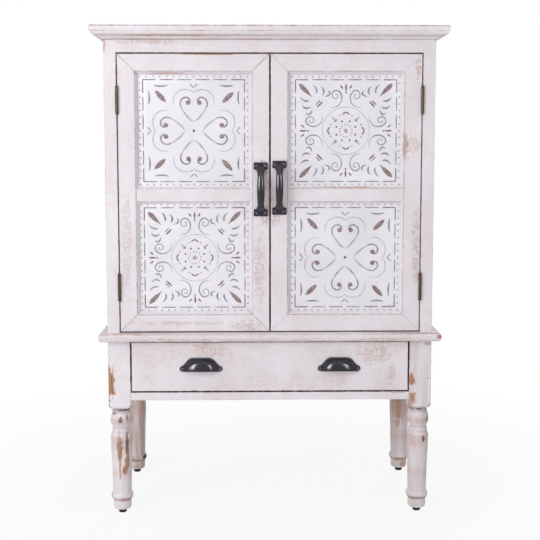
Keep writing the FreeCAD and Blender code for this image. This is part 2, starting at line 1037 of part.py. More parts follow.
def screw(x, z, seat):
    """Flat-head screw into the front, its head on a seat plane."""
    points = [
        (0, -screw_head_height),
        (screw_head_radius, -screw_head_height),
        (screw_head_radius, 0),
        (screw_shank_radius, 0),
        (screw_shank_radius, screw_length),
        (0, screw_length),
    ]
    return turning(points, screw_flat_count, axis_place(V(x, seat, z), Y_AXIS))


def screw_hole(x, z, seat):
    """Hole for one screw, from in front of its seat to the screw's end."""
    radius = screw_shank_radius + screw_slip
    start = V(x, seat - cut_overrun, z)
    return peg(radius, screw_length + cut_overrun, screw_flat_count, start, Y_AXIS)


def build_door_pulls():
    """A pull on each meeting stile, with its screws and their holes."""
    heights = {"left": door_low + left_pull_rise, "right": door_low + right_pull_rise}
    base = pull_shape()
    for name in sides:
        x = sides[name] * (door_inner + member_width / 2)
        pull = base.translated(V(x, front, heights[name]))
        stile = parts["door_" + name + "_meeting_stile"]
        seat = front - pull_foot_thickness
        screws = []
        for dx, dz in pull_screw_places():
            hole = screw_hole(x + dx, heights[name] + dz, seat)
            pull = pull.cut(hole)
            stile = stile.cut(hole)
            screws.append(screw(x + dx, heights[name] + dz, seat))
        parts["door_" + name + "_pull"] = pull
        parts["door_" + name + "_meeting_stile"] = stile
        parts["door_" + name + "_pull_screws"] = Part.makeCompound(screws)


# Cup pulls


def dome_points(inset):
    """Upper outline of the dome in (height, x), drawn in by an inset, from end to end."""
    foot = cup_length / 2 - 2 * cup_ear_radius - inset
    crown = cup_height - cup_rim - inset
    start = (0, -foot)
    left_crown = (crown, -cup_crown_half_width)
    right_crown = (crown, cup_crown_half_width)
    end = (0, foot)
    left_round = bulge(start, left_crown, -cup_shoulder_share)
    right_round = bulge(right_crown, end, -cup_shoulder_share)
    return [
        start,
        *round_points(start, left_round, left_crown, cup_round_step_count),
        right_crown,
        *round_points(right_crown, right_round, end, cup_round_step_count),
    ]


def dome_solid(inset):
    """Front upper quarter of a barrel turned about the lower edge, flatter towards the front."""
    squeeze = (cup_reach - inset) / (cup_height - cup_rim - inset)
    barrel = turning(
        dome_points(inset), cup_flat_count, lambda up, out, along: V(along, -out * squeeze, up)
    )
    quarter = box(-cup_length, cup_length, -cup_length, 0, 0, cup_length)
    return barrel.common(quarter)


def cup_plate():
    """Flat rim with a screw ear at each end."""
    ear_x = cup_length / 2 - cup_ear_radius
    corner = cup_ear_radius / math.sqrt(2)
    ear_top = (ear_x + corner, cup_ear_radius + corner)
    ear_low = (ear_x, 0)
    flank = (cup_flank_half_width, cup_flank_height)
    crown = (cup_crown_half_width, cup_height)
    right = [
        ear_low,
        ((cup_length / 2, cup_ear_radius), ear_top),
        flank,
        (bulge(flank, crown, -cup_shoulder_share), crown),
    ]
    left = mirror_steps(right)
    return along_y(right + left, -cup_plate_thickness, 0)


def build_cup_pulls():
    """Two cup pulls on the drawer front, open below, with a screw in each ear."""
    shell = cup_plate().fuse(dome_solid(0)).cut(dome_solid(cup_wall))
    ear_x = cup_length / 2 - cup_ear_radius
    bottom = drawer_low + cup_rise
    screws = []
    for name in sides:
        x = sides[name] * cup_spacing / 2
        pull = shell.translated(V(x, front, bottom))
        seat = front - cup_plate_thickness
        for direction in (-1, 1):
            place = (x + direction * ear_x, bottom + cup_ear_radius, seat)
            hole = screw_hole(*place)
            pull = pull.cut(hole)
            parts["drawer_front"] = parts["drawer_front"].cut(hole)
            screws.append(screw(*place))
        parts["cup_pull_" + name] = pull
    parts["cup_pull_screws"] = Part.makeCompound(screws)


# Drawer and its slides


def build_drawer():
    """Solid front with a box of thin boards behind it; the base slides in grooves."""
    front_half = leg_inner - drawer_side_gap
    box_half = leg_inner - slide_depth
    box_front = front + drawer_front_thickness
    box_back = apron_front - drawer_back_gap
    box_low = drawer_low + drawer_box_lift
    box_high = drawer_high - drawer_box_drop
    board = box(-front_half, front_half, front, box_front, drawer_low, drawer_high)
    side = box(box_half - drawer_wall, box_half, box_front, box_back, box_low, box_high)
    rear_front = box_back - drawer_wall
    rear = box(
        drawer_wall - box_half, box_half - drawer_wall, rear_front, box_back, box_low, box_high
    )
    groove_low = box_low + drawer_groove_lift
    groove_half = box_half - drawer_wall + drawer_groove_depth
    groove = box(
        -groove_half,
        groove_half,
        box_front - drawer_groove_depth,
        rear_front + drawer_groove_depth,
        groove_low,
        groove_low + drawer_base_thickness + wood_slip,
    )
    base_half = groove_half - wood_slip
    parts["drawer_front"] = board.cut(groove)
    for name in sides:
        parts["drawer_side_" + name] = for_side(side, name).cut(groove)
    parts["drawer_back"] = rear.cut(groove)
    parts["drawer_bottom"] = box(
        -base_half,
        base_half,
        box_front - drawer_groove_depth + wood_slip,
        rear_front + drawer_groove_depth - wood_slip,
        groove_low,
        groove_low + drawer_base_thickness,
    )


def channel(web, lips, half_height, y_low, y_high):
    """Slide member: an upright web with a flange at its top and bottom, in (x, height)."""
    middle = drawer_low + drawer_box_lift + slide_lift
    step = math.copysign(slide_metal, lips - web)
    steps = [
        (web, middle - half_height),
        (lips, middle - half_height),
        (lips, middle - half_height + slide_metal),
        (web + step, middle - half_height + slide_metal),
        (web + step, middle + half_height - slide_metal),
        (lips, middle + half_height - slide_metal),
        (lips, middle + half_height),
        (web, middle + half_height),
    ]
    return along_y(steps, y_low, y_high)


def build_slides():
    """Channel screwed to the legs and a narrower one on the drawer side, nested in it."""
    start = front + slide_setback
    end = apron_front - slide_back_gap
    inner_x = leg_inner - slide_depth
    outer_half = slide_height / 2
    inner_half = outer_half - slide_metal - slide_slip
    runner = channel(leg_inner, inner_x + slide_metal + slide_slip, outer_half, start, end)
    rail_end = end - slide_rail_shortfall
    rail = channel(inner_x, leg_inner - slide_metal - slide_slip, inner_half, start, rail_end)
    parts["drawer_runners"] = Part.makeCompound([runner, mirrored(runner)])
    parts["drawer_slide_rails"] = Part.makeCompound([rail, mirrored(rail)])


def main():
    """Builds every piece and writes one file a node."""
    build_top_board()
    build_cornice()
    build_case_shell()
    build_shelf()
    build_waist_board()
    build_legs()
    build_base_rails()
    build_hinges()
    build_doors()
    build_catches()
    build_door_pulls()
    build_drawer()
    build_cup_pulls()
    build_slides()
    os.makedirs("parts", exist_ok=True)
    for name in sorted(parts):
        shape = parts[name]
        if not shape.isValid():
            print("not valid:", name)
        shape.exportStep("parts/" + name + ".step")
    print(len(parts), "nodes")


main()
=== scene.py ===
"""Looks of an accent cabinet: whitewashed wood, pressed metal door panels and black iron pulls.

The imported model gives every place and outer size. This script dresses its pieces, puts a camera
and soft studio lamps round them, and reports what it made.
"""

import json
import logging
import math
from collections.abc import Callable, Iterable, Iterator, Sequence
from contextlib import contextmanager
from dataclasses import dataclass, field
from enum import Enum
from functools import partial

import bmesh
import bpy
from mathutils import Matrix, Vector
from mathutils.bvhtree import BVHTree


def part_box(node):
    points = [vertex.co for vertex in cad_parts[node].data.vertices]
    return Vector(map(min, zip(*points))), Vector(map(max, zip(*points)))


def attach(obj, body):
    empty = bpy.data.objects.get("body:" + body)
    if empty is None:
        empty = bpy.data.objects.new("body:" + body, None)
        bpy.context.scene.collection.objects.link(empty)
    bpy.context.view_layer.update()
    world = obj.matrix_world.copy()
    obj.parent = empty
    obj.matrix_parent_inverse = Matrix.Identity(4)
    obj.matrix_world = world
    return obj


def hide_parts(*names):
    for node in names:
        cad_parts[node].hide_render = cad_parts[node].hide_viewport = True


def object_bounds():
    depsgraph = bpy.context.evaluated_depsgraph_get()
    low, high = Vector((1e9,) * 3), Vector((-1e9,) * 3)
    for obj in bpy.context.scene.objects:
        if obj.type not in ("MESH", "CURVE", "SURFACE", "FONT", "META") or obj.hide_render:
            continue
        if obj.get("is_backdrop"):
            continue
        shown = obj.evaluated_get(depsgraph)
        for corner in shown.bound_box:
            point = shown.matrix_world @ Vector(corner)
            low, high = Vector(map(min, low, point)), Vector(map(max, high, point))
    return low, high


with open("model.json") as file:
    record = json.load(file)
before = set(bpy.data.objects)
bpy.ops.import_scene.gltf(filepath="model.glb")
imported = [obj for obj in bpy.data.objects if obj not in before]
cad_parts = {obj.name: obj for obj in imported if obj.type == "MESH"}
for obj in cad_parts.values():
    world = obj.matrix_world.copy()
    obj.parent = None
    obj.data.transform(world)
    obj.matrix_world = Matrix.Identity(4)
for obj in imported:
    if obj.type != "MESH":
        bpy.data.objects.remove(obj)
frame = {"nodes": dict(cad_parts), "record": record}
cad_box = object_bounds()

MM = 0.001
UP = Vector((0, 0, 1))
# The y of the fronts of the doors and the face frame, in millimetres
FACE = -159.5
# The values of a noise between its darks and its lights
EVEN_SPAN = (0.35, 0.7)
# How close points are to be one: on turned pieces, and on copies of CAD solids
TURNED_WELD = 0.02 * MM
COPIED_WELD = 0.01 * MM
# How little faces turn from each other where they are merged, and how squarely a front one looks
MERGE_TURN = math.radians(1.0)
FRONT_SLOPE = -0.9
log = logging.getLogger("accent_cabinet")

Piece = bpy.types.Object
Tree = bpy.types.NodeTree
Triple = tuple[float, float, float]
Span = tuple[float, ...]
Steps = tuple[tuple[float, float], ...]

BODY_OF = {
    node: body
    for body, members in frame["record"]["behaviour"]["bodies"].items()
    for node in members
}


def mm(*values: float) -> Vector:
    """A place or size given in millimetres, as Blender's metres."""
    return Vector(values) * MM


def linear(hex_code: str) -> tuple[float, float, float, float]:
    """Turns an sRGB colour such as "e9e3e6" to the linear values that shaders take.

    Args:
        hex_code: six hexadecimal digits, two each for red, green and blue.

    Returns:
        Linear red, green and blue, and a full alpha.
    """
    parts = [int(hex_code[i : i + 2], 16) / 255 for i in (0, 2, 4)]
    lit = [p / 12.92 if p <= 0.04045 else ((p + 0.055) / 1.055) ** 2.4 for p in parts]
    return (*lit, 1.0)


def connect(tree: Tree, pairs: Iterable[tuple[bpy.types.NodeSocket, object]]) -> None:
    """Gives sockets their values or links.

    Args:
        tree: the node tree that the sockets are in.
        pairs: a socket each, with its value or the node or socket that is linked to it.
    """
    for socket, value in pairs:
        if isinstance(value, bpy.types.Node):
            value = next(output for output in value.outputs if output.enabled)
        if isinstance(value, bpy.types.NodeSocket):
            tree.links.new(value, socket)
        else:
            socket.default_value = value


def add(tree: Tree, kind: str, *inputs: object, **settings: object) -> bpy.types.Node:
    """Adds one node to a material or the world.

    Args:
        tree: the node tree that gets the node.
        kind: the node's type, without its "ShaderNode" prefix.
        inputs: values or links of its open sockets in their order, or one dict of them by name.
        settings: the node's own options.

    Returns:
        The new node.
    """
    made = tree.nodes.new("ShaderNode" + kind)
    for option, value in settings.items():
        setattr(made, option, value)
    if inputs and isinstance(inputs[0], dict):
        connect(tree, [(made.inputs[name], value) for name, value in inputs[0].items()])
    else:
        connect(tree, zip([socket for socket in made.inputs if socket.enabled], inputs))
    return made


def frequency(width: float) -> float:
    """The scale of a noise whose features are about this many millimetres wide."""
    return 1 / (width * MM)


class Bench:
    """The moves that every piece is modelled with."""

    @staticmethod
    def clear() -> None:
        """Leaves object mode with nothing selected."""
        if bpy.context.mode != "OBJECT":
            bpy.ops.object.mode_set(mode="OBJECT")
        bpy.ops.object.select_all(action="DESELECT")

    @staticmethod
    def take(*pieces: Piece) -> None:
        """Selects pieces alone.

        Args:
            pieces: the pieces, the first of which becomes active.
        """
        Bench.clear()
        for piece in pieces:
            piece.select_set(True)
        bpy.context.view_layer.objects.active = pieces[0]

    @staticmethod
    @contextmanager
    def editing(piece: Piece) -> Iterator[None]:
        """Opens a piece in edit mode with nothing selected, and closes it again.

        Args:
            piece: the piece to edit.

        Yields:
            Nothing, while the piece is open.
        """
        Bench.take(piece)
        bpy.ops.object.mode_set(mode="EDIT")
        bpy.ops.mesh.select_all(action="DESELECT")
        yield
        bpy.ops.object.mode_set(mode="OBJECT")

    @staticmethod
    def select(piece: Piece, kind: str, test: Callable) -> None:
        """Selects the parts of a mesh that pass a test, in edit mode.

        Args:
            piece: the object being edited.
            kind: VERT, EDGE or FACE.
            test: says of one vertex, edge or face whether it is wanted.
        """
        bpy.ops.mesh.select_mode(type=kind)
        bpy.ops.mesh.select_all(action="DESELECT")
        sketch = bmesh.from_edit_mesh(piece.data)
        for part in {"VERT": sketch.verts, "EDGE": sketch.edges, "FACE": sketch.faces}[kind]:
            if test(part):
                part.select_set(True)
        sketch.select_flush_mode()
        bmesh.update_edit_mesh(piece.data)

    @staticmethod
    def at_front(face: bmesh.types.BMFace) -> bool:
        """Whether a face looks to the front."""
        return face.normal.y < FRONT_SLOPE

    @staticmethod
    def slice(point: Vector, normal: Vector, **settings: bool) -> None:
        """Cuts all of the mesh being edited with a plane through a point."""
        bpy.ops.mesh.select_all(action="SELECT")
        bpy.ops.mesh.bisect(plane_co=point, plane_no=normal, **settings)

    @staticmethod
    def outward() -> None:
        """Turns every face of the mesh being edited outward."""
        bpy.ops.mesh.select_all(action="SELECT")
        bpy.ops.mesh.normals_make_consistent(inside=False)

    @staticmethod
    def inset(*steps: tuple[float, float]) -> None:
        """Insets the selected faces by widths and depths in millimetres, one step after another."""
        for width, depth in steps:
            bpy.ops.mesh.inset(thickness=width * MM, depth=depth * MM)

    @staticmethod
    def layers(piece: Piece, *names: str) -> list[bpy.types.Attribute]:
        """Adds point attributes to a piece's mesh.

        Args:
            piece: the piece.
            names: their names.

        Returns:
            The attributes in that order.
        """
        for name in names:
            piece.data.attributes.new(name, "FLOAT", "POINT")
        return [piece.data.attributes[name] for name in names]

    @staticmethod
    def started(name: str) -> Piece:
        """Names the object that the last primitive made, and applies its turn and scale.

        Args:
            name: the name of the object and its mesh.

        Returns:
            The object.
        """
        piece = bpy.context.active_object
        piece.name = piece.data.name = name
        Bench.take(piece)
        bpy.ops.object.transform_apply(location=True, rotation=True, scale=True)
        return piece

    @staticmethod
    def block(name: str, low: Vector, high: Vector) -> Piece:
        """Adds a box to be shaped further.

        Args:
            name: its name.
            low: its lowest corner.
            high: its highest corner.

        Returns:
            The box.
        """
        Bench.clear()
        bpy.ops.mesh.primitive_cube_add(size=1, location=(low + high) / 2, scale=high - low)
        return Bench.started(name)

    @staticmethod
    def copy(piece: Piece, name: str, move: Matrix) -> Piece:
        """Copies a piece with a mesh of its own, and moves that mesh.

        Args:
            piece: what is copied.
            name: the copy's name.
            move: how its mesh is moved, turned or mirrored.

        Returns:
            The copy.
        """
        twin = bpy.data.objects.new(name, piece.data.copy())
        bpy.context.scene.collection.objects.link(twin)
        twin.data.transform(move)
        if move.determinant() < 0:
            twin.data.flip_normals()
        return twin

    @staticmethod
    def join(name: str, pieces: Sequence[Piece]) -> Piece:
        """Joins pieces into one object.

        Args:
            name: its name.
            pieces: what is joined.

        Returns:
            The object.
        """
        Bench.take(*pieces)
        bpy.ops.object.join()
        whole = bpy.context.active_object
        whole.name = whole.data.name = name
        return whole

    @staticmethod
    def modify(piece: Piece, kind: str, **settings: object) -> None:
        """Adds a modifier and applies it.

        Args:
            piece: what is modified.
            kind: the modifier's type.
            settings: its options.
        """
        Bench.take(piece)
        modifier = piece.modifiers.new(kind.title(), kind)
        for option, value in settings.items():
            setattr(modifier, option, value)
        bpy.ops.object.modifier_apply(modifier=modifier.name)

    @staticmethod
    def cut(piece: Piece, tool: Piece, how: str) -> None:
        """Combines a piece with a tool shape by a boolean, and takes the tool away."""
        Bench.modify(piece, "BOOLEAN", operation=how, object=tool, solver="EXACT")
        bpy.data.objects.remove(tool)

    @staticmethod
    def turned(name: str, outline: Sequence[tuple[float, float]], segments: int) -> Piece:
        """Draws an outline point by point and spins it round the upright axis to a closed solid.

        Args:
            name: the piece's name.
            outline: radius and height of each point, from the bottom up, in millimetres.
            segments: how many steps one turn has.

        Returns:
            The solid, on the upright axis.
        """
        Bench.clear()
        bpy.ops.mesh.primitive_plane_add(size=MM)
        turned = Bench.started(name)
        with Bench.editing(turned):
            bpy.ops.mesh.select_all(action="SELECT")
            bpy.ops.mesh.merge(type="CENTER")
            bpy.ops.mesh.select_mode(type="VERT")
            bpy.ops.mesh.select_all(action="SELECT")
            here = Vector((0, 0, 0))
            for step, (radius, height) in enumerate(outline):
                there = mm(radius, 0, height)
                if step == 0:
                    bpy.ops.transform.translate(value=there)
                else:
                    bpy.ops.mesh.extrude_vertices_move(TRANSFORM_OT_translate={"value": there - here})
                here = there
            bpy.ops.mesh.select_all(action="SELECT")
            bpy.ops.mesh.spin(steps=segments, angle=math.tau, center=(0, 0, 0), axis=UP, use_auto_merge=True)
            bpy.ops.mesh.select_all(action="SELECT")
            bpy.ops.mesh.remove_doubles(threshold=TURNED_WELD)
            Bench.outward()
        return turned

    @staticmethod
    def polish(piece: Piece, amount: float, front: float = math.inf) -> None:
        """Marks a piece as rubbed bright, a lighter colour that also stands in for painted highlights.

        Args:
            piece: the piece.
            amount: how bright.
            front: the y that the bright part lies ahead of, all of the piece where none is given.
        """
        (layer,) = Bench.layers(piece, "polish")
        for index, vert in enumerate(piece.data.vertices):
            layer.data[index].value = amount if vert.co.y < front else 0.0

    @staticmethod
    def smooth(piece: Piece, angle: float) -> None:
        """Shades a piece smooth, apart from edges sharper than an angle in degrees."""
        Bench.take(piece)
        bpy.ops.object.shade_smooth_by_angle(angle=math.radians(angle))

    @staticmethod
    def copy_node(node: str) -> Piece:
        """Copies a CAD node's mesh into a new piece, its triangles merged into whole faces.

        Args:
            node: the CAD node's name.

        Returns:
            The new piece, with no material yet.
        """
        piece = bpy.data.objects.new(f"{node}_finished", frame["nodes"][node].data.copy())
        bpy.context.scene.collection.objects.link(piece)
        piece.data.materials.clear()
        while piece.data.uv_layers:
            piece.data.uv_layers.remove(piece.data.uv_layers[0])
        Bench.take(piece)
        bpy.ops.mesh.customdata_custom_splitnormals_clear()
        with Bench.editing(piece):
            bpy.ops.mesh.select_all(action="SELECT")
            bpy.ops.mesh.remove_doubles(threshold=COPIED_WELD)
            bpy.ops.mesh.dissolve_limited(angle_limit=MERGE_TURN)
        return piece

    @staticmethod
    def place(piece: Piece, material: bpy.types.Material, *nodes: str) -> Piece:
        """Gives a piece its material and puts it in the place of CAD nodes.

        Args:
            piece: the finished piece.
            material: its finish.
            nodes: the CAD nodes that it stands for, all on one body.

        Returns:
            The same piece.
        """
        if not piece.data.materials:
            piece.data.materials.append(material)
        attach(piece, BODY_OF[nodes[0]])
        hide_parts(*nodes)
        log.info("%s: %d faces in place of %s", piece.name, len(piece.data.polygons), ", ".join(nodes))
        return piece

    @staticmethod
    def repeat(piece: Piece, node: str, other: str) -> Piece:
        """Copies a finished piece from its node's place to that of another, like node."""
        move = Matrix.Translation(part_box(other)[0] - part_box(node)[0])
        return Bench.place(Bench.copy(piece, f"{other}_finished", move), piece.data.materials[0], other)


class Grain(Enum):
    """The way a board's grain runs, as the stretch of its pattern on x, y and z."""

    ACROSS = (0.07, 1.0, 1.0)
    DEEP = (1.0, 0.07, 1.0)
    UPRIGHT = (1.0, 1.0, 0.07)


class Wear(Enum):
    """What shows in a worn place: timber, thin wash, thin wash in a linen pattern, or dark brown, which
    paints stains and, in some spots, shade.
    """

    BARE = "bare"
    RUBBED = "rubbed"
    HAZE = "haze"
    STAIN = "stain"


BARE, RUBBED, HAZE, STAIN = Wear


@dataclass(frozen=True)
class Spot:
    """A worn place in millimetres: its middle, its reach each way, and how strongly it shows.

    Its middle is on the front of the doors and the face frame where nothing else is said.
    """

    across: float
    up: float
    wide: float
    tall: float
    wear: Wear = BARE
    loss: float = 1.0
    back: float = FACE
    deep: float = 4.0


@dataclass(frozen=True)
class Finish:
    """A finish whose procedural material is built when it is first asked for."""

    name: str

    def material(self) -> bpy.types.Material:
        """Builds the material, or finds it where it is built already.

        Returns:
            The material of that name.
        """
        made = bpy.data.materials.get(self.name)
        if made is None:
            made = bpy.data.materials.new(self.name)
            made.use_nodes = True
            surface = made.node_tree.nodes["Principled BSDF"]
            looks = self.looks(partial(add, made.node_tree))
            connect(made.node_tree, [(surface.inputs[name], value) for name, value in looks.items()])
        return made

    def looks(self, node: Callable) -> dict[str, object]:
        """Adds the finish's nodes.

        Args:
            node: the function add for this material's tree.

        Returns:
            For the shader's sockets by name, their values or what is linked to them.
        """
        raise NotImplementedError


@dataclass(frozen=True)
class WhitewashedWood(Finish):
    """Mango wood, planed, whitewashed and rubbed back by hand.

    The wash hides the grain on flat faces and leaves faint streaks along it. Rubbing takes it
    off the arrises in short stretches, where warm bare wood shows, and leaves a fine cross-hatch
    like coarse linen in patches. Turned parts are rubbed in bands, and dark brown antiquing sits
    in their grooves; the same dark brown is painted under the ring and the block and in gaps
    between parts, as painted shade.

    Widths are in millimetres. The shares say how much arrises, flecks and patches count toward
    wear. A span says where something begins and ends to show, and then its least and its most.
    """

    grain: Grain
    rub: float = 0.35
    hatch: float = 0.4
    age_and_shade: float = 0.0
    spots: tuple[Spot, ...] = ()
    wash: str = "efebf1"
    wash_shade: str = "e5dee4"
    aged: str = "a08377"
    rubbed: str = "c6a79f"
    bare: str = "be8c6a"
    bare_dark: str = "86593e"
    glaze: str = "6a4030"
    linen: str = "e0cfca"
    streak_width: float = 2.6
    broad_width: float = 13.0
    thread_gap: float = 2.3
    thread_length: float = 0.17
    patch_width: float = 75.0
    tone_width: float = 160.0
    fleck_width: float = 13.0
    noise_roughness: float = 0.62
    edge_share: float = 0.8
    fleck_share: float = 0.75
    patch_share: float = 0.6
    bare_from: float = 1.66
    bare_pull: float = 0.22
    bare_soft: float = 0.09
    thin_lead: float = 0.16
    thin_lag: float = 0.05
    thin_most: float = 0.6
    patch_from: float = 0.51
    patch_pull: float = 0.12
    patch_soft: float = 0.16
    linen_span: Span = (0.42, 0.68)
    woven_span: Span = (0.47, 0.62, 0.12)
    streak_span: Span = (0.52, 0.75, 0.0, 0.17)
    brush_span: Span = (0.38, 0.6, 0.35)
    ageing_and_shade_span: Span = (0.4, 0.6, 0.25)
    pool_span: Span = (0.36, 0.6, 0.3)
    figure_span: Span = (0.4, 0.7)
    spot_span: Span = (1.02, 0.8, 0.0)
    gloss_span: Span = (1.0, 1.6, 0.5, 0.7)
    torn_flecks: float = 1.7
    torn_streaks: float = 1.9
    torn_level: float = -1.8
    relief: float = 0.16
    relief_linen: float = -0.6
    relief_depth: float = 0.5
    bending: float = 1.45
    sheen: float = 0.35

    def looks(self, node: Callable) -> dict[str, object]:
        """Washes the timber, rubs it by its point attributes and wears its spots.

        Args:
            node: the function add for this material's tree.

        Returns:
            The shader's inputs.
        """
        place = node("TexCoord").outputs["Object"]
        along, level, plumb = (
            node("Mapping", {"Vector": place, "Scale": stretch})
            for stretch in (self.grain.value, (self.thread_length, 1, 1), (1, 1, self.thread_length))
        )
        tone, streak, broad, warp, weft, patch, fleck = (
            node("TexNoise", where, frequency(width), detail, self.noise_roughness)
            for where, width, detail in (
                (place, self.tone_width, 3.0),
                (along, self.streak_width, 3.0),
                (along, self.broad_width, 2.0),
                (level, self.thread_gap, 0.0),
                (plumb, self.thread_gap, 0.0),
                (place, self.patch_width, 4.0),
                (place, self.fleck_width, 4.0),
            )
        )
        edge_wear, handled, glaze = (
            node("Attribute", attribute_name=name, attribute_type="GEOMETRY").outputs["Fac"]
            for name in ("edge_wear", "handled", "glaze")
        )
        # Linen: threads both ways, in patches that spread with the hatch
        threads = node("Math", warp, weft, operation="MAXIMUM")
        linen = node("MapRange", threads, *self.linen_span)
        woven = node("MapRange", threads, *self.woven_span)
        spread = self.patch_from - self.patch_pull * self.hatch
        patches = node("MapRange", patch, spread, spread + self.patch_soft)
        linen_rub = node("Math", linen, patches, operation="MULTIPLY")
        linen_amount = node("Math", linen_rub, self.hatch, operation="MULTIPLY")
        # Wear: thin wash first, then bare wood, where arris, flecks and patches add up
        edge_part = node("Math", edge_wear, self.edge_share, operation="MULTIPLY")
        fleck_part = node("Math", fleck, self.fleck_share, edge_part, operation="MULTIPLY_ADD")
        worn = node("Math", patch, self.patch_share, fleck_part, operation="MULTIPLY_ADD")
        reach = self.bare_from - self.bare_pull * self.rub
        thin = node("MapRange", worn, reach - self.thin_lead, reach + self.thin_lag, 0.0, self.thin_most)
        bare_rub = node("MapRange", worn, reach, reach + self.bare_soft)
        # Streaks along the grain, in the wash, on handled rounds and in the old wash, which also paints
        # shade on the rear legs
        streaks = node("MapRange", streak, *self.streak_span)
        brushed = node("MapRange", streak, *self.brush_span)
        handling = node("Math", handled, brushed, operation="MULTIPLY")
        broad_streaks = node("MapRange", broad, *self.ageing_and_shade_span)
        ageing_and_shade = node("Math", broad_streaks, self.age_and_shade, operation="MULTIPLY")
        pooled = node("MapRange", fleck, *self.pool_span)
        glazed_and_shaded = node("Math", glaze, pooled, operation="MULTIPLY")
        # The colours, from the lowest coat up, and the ragged spots over them
        grain_lines = node("MapRange", streak, *self.figure_span)
        timber = node("Mix", grain_lines, linear(self.bare), linear(self.bare_dark), data_type="RGBA")
        wash_tone = node("MapRange", tone, *EVEN_SPAN)
        colour = node("Mix", wash_tone, linear(self.wash), linear(self.wash_shade), data_type="RGBA")
        rubbed, brown = linear(self.rubbed), linear(self.glaze)
        coats = [
            # old wash, which on the rear legs also paints their shade
            (ageing_and_shade, linear(self.aged)),
            (streaks, rubbed),
            (linen_amount, linear(self.linen)),
            (handling, rubbed),
            (thin, rubbed),
            (bare_rub, timber),
            # dark brown antiquing, also painted shade under turned parts and in gaps
            (glazed_and_shaded, brown),
        ]
        tints = {BARE: timber, RUBBED: rubbed, HAZE: rubbed, STAIN: brown}
        torn = node("Math", fleck, self.torn_flecks, self.torn_level, operation="MULTIPLY_ADD")
        rough = node("Math", streak, self.torn_streaks, torn, operation="MULTIPLY_ADD")
        for spot in self.spots:
            middle, extent = mm(spot.across, spot.back, spot.up), mm(spot.wide, spot.deep, spot.tall)
            offset = node("VectorMath", place, middle, operation="SUBTRACT")
            shaped = node("VectorMath", offset, extent, operation="DIVIDE")
            far = node("VectorMath", shaped, operation="LENGTH")
            ragged = node("Math", rough, far, operation="ADD")
            inside = node("MapRange", ragged, *self.spot_span, spot.loss)
            if spot.wear is HAZE:
                inside = node("Math", inside, woven, operation="MULTIPLY")
            coats.append((inside, tints[spot.wear]))
        for amount, tint in coats:
            colour = node("Mix", amount, colour, tint, data_type="RGBA")
        depth = self.relief_depth * MM
        height = node("Math", linen_rub, self.relief_linen, streak, operation="MULTIPLY_ADD")
        return {
            "Base Color": colour,
            "Roughness": node("MapRange", worn, *self.gloss_span),
            "Normal": node("Bump", {"Height": height, "Strength": self.relief, "Distance": depth}),
            "IOR": self.bending,
            "Specular IOR Level": self.sheen,
        }


@dataclass(frozen=True)
class PlainTimber(Finish):
    """Unpainted timber or board inside the cabinet, planed or pressed, with a fine even figure."""

    light: str
    dark: str
    grain: Grain
    figure_width: float = 5.0
    roughness: float = 0.6
    swirl: float = 0.6
    relief: float = 0.12
    relief_depth: float = 0.4

    def looks(self, node: Callable) -> dict[str, object]:
        """Draws the figure along the grain.

        Args:
            node: the function add for this material's tree.

        Returns:
            The shader's inputs.
        """
        place = node("TexCoord").outputs["Object"]
        along = node("Mapping", {"Vector": place, "Scale": self.grain.value})
        scale = frequency(self.figure_width)
        rings = node("TexNoise", {"Vector": along, "Scale": scale, "Detail": 4.0, "Distortion": self.swirl})
        figure = node("MapRange", rings, *EVEN_SPAN)
        depth = self.relief_depth * MM
        return {
            "Base Color": node("Mix", figure, linear(self.light), linear(self.dark), data_type="RGBA"),
            "Roughness": self.roughness,
            "Normal": node("Bump", {"Height": rings, "Strength": self.relief, "Distance": depth}),
        }


@dataclass(frozen=True)
class RubbedTin(Finish):
    """Embossed tinplate, painted white and rubbed so that its raised lines show grey and brown.

    Shallow dents, wider than the lines, keep the ground from looking like paper.
    """

    name: str = "white painted tinplate, rubbed back"
    paint: str = "f1eff6"
    paint_shade: str = "e7e5ec"
    worn_grey: str = "7a8190"
    worn_brown: str = "74463f"
    dent_width: float = 16.0
    chip_width: float = 2.6
    patch_width: float = 14.0
    tone_scale: float = 9.0
    patch_share: float = 1.8
    chip_share: float = 0.9
    chip_level: float = -0.45
    brown_span: Span = (0.85, 1.75)
    worn_span: Span = (0.22, 0.72)
    gloss_span: Span = (0.0, 1.0, 0.42, 0.55)
    dent_relief: float = 0.2
    dent_depth: float = 1.2

    def looks(self, node: Callable) -> dict[str, object]:
        """Rubs the paint by the point attributes "rub" and "brown", broken up by chips.

        Args:
            node: the function add for this material's tree.

        Returns:
            The shader's inputs.
        """
        place = node("TexCoord").outputs["Object"]
        dents, tone, patches, chips = (
            node("TexNoise", place, scale, detail, roughness)
            for scale, detail, roughness in (
                (frequency(self.dent_width), 2.0, 0.5),
                (self.tone_scale, 2.0, 0.5),
                (frequency(self.patch_width), 1.0, 0.5),
                (frequency(self.chip_width), 3.0, 0.6),
            )
        )
        rub, brown = (
            node("Attribute", attribute_name=name, attribute_type="GEOMETRY").outputs["Fac"]
            for name in ("rub", "brown")
        )
        ground_tone = node("MapRange", tone, *EVEN_SPAN)
        ground = node("Mix", ground_tone, linear(self.paint), linear(self.paint_shade), data_type="RGBA")
        tinted = node("Math", patches, self.patch_share, brown, operation="MULTIPLY_ADD")
        browned = node("MapRange", tinted, *self.brown_span)
        metal = node("Mix", browned, linear(self.worn_grey), linear(self.worn_brown), data_type="RGBA")
        broken = node("Math", chips, self.chip_share, self.chip_level, operation="MULTIPLY_ADD")
        cover = node("Math", rub, broken, operation="ADD")
        worn = node("MapRange", cover, *self.worn_span)
        depth = self.dent_depth * MM
        return {
            "Base Color": node("Mix", worn, ground, metal, data_type="RGBA"),
            "Roughness": node("MapRange", worn, *self.gloss_span),
            "Normal": node("Bump", {"Height": dents, "Strength": self.dent_relief, "Distance": depth}),
        }


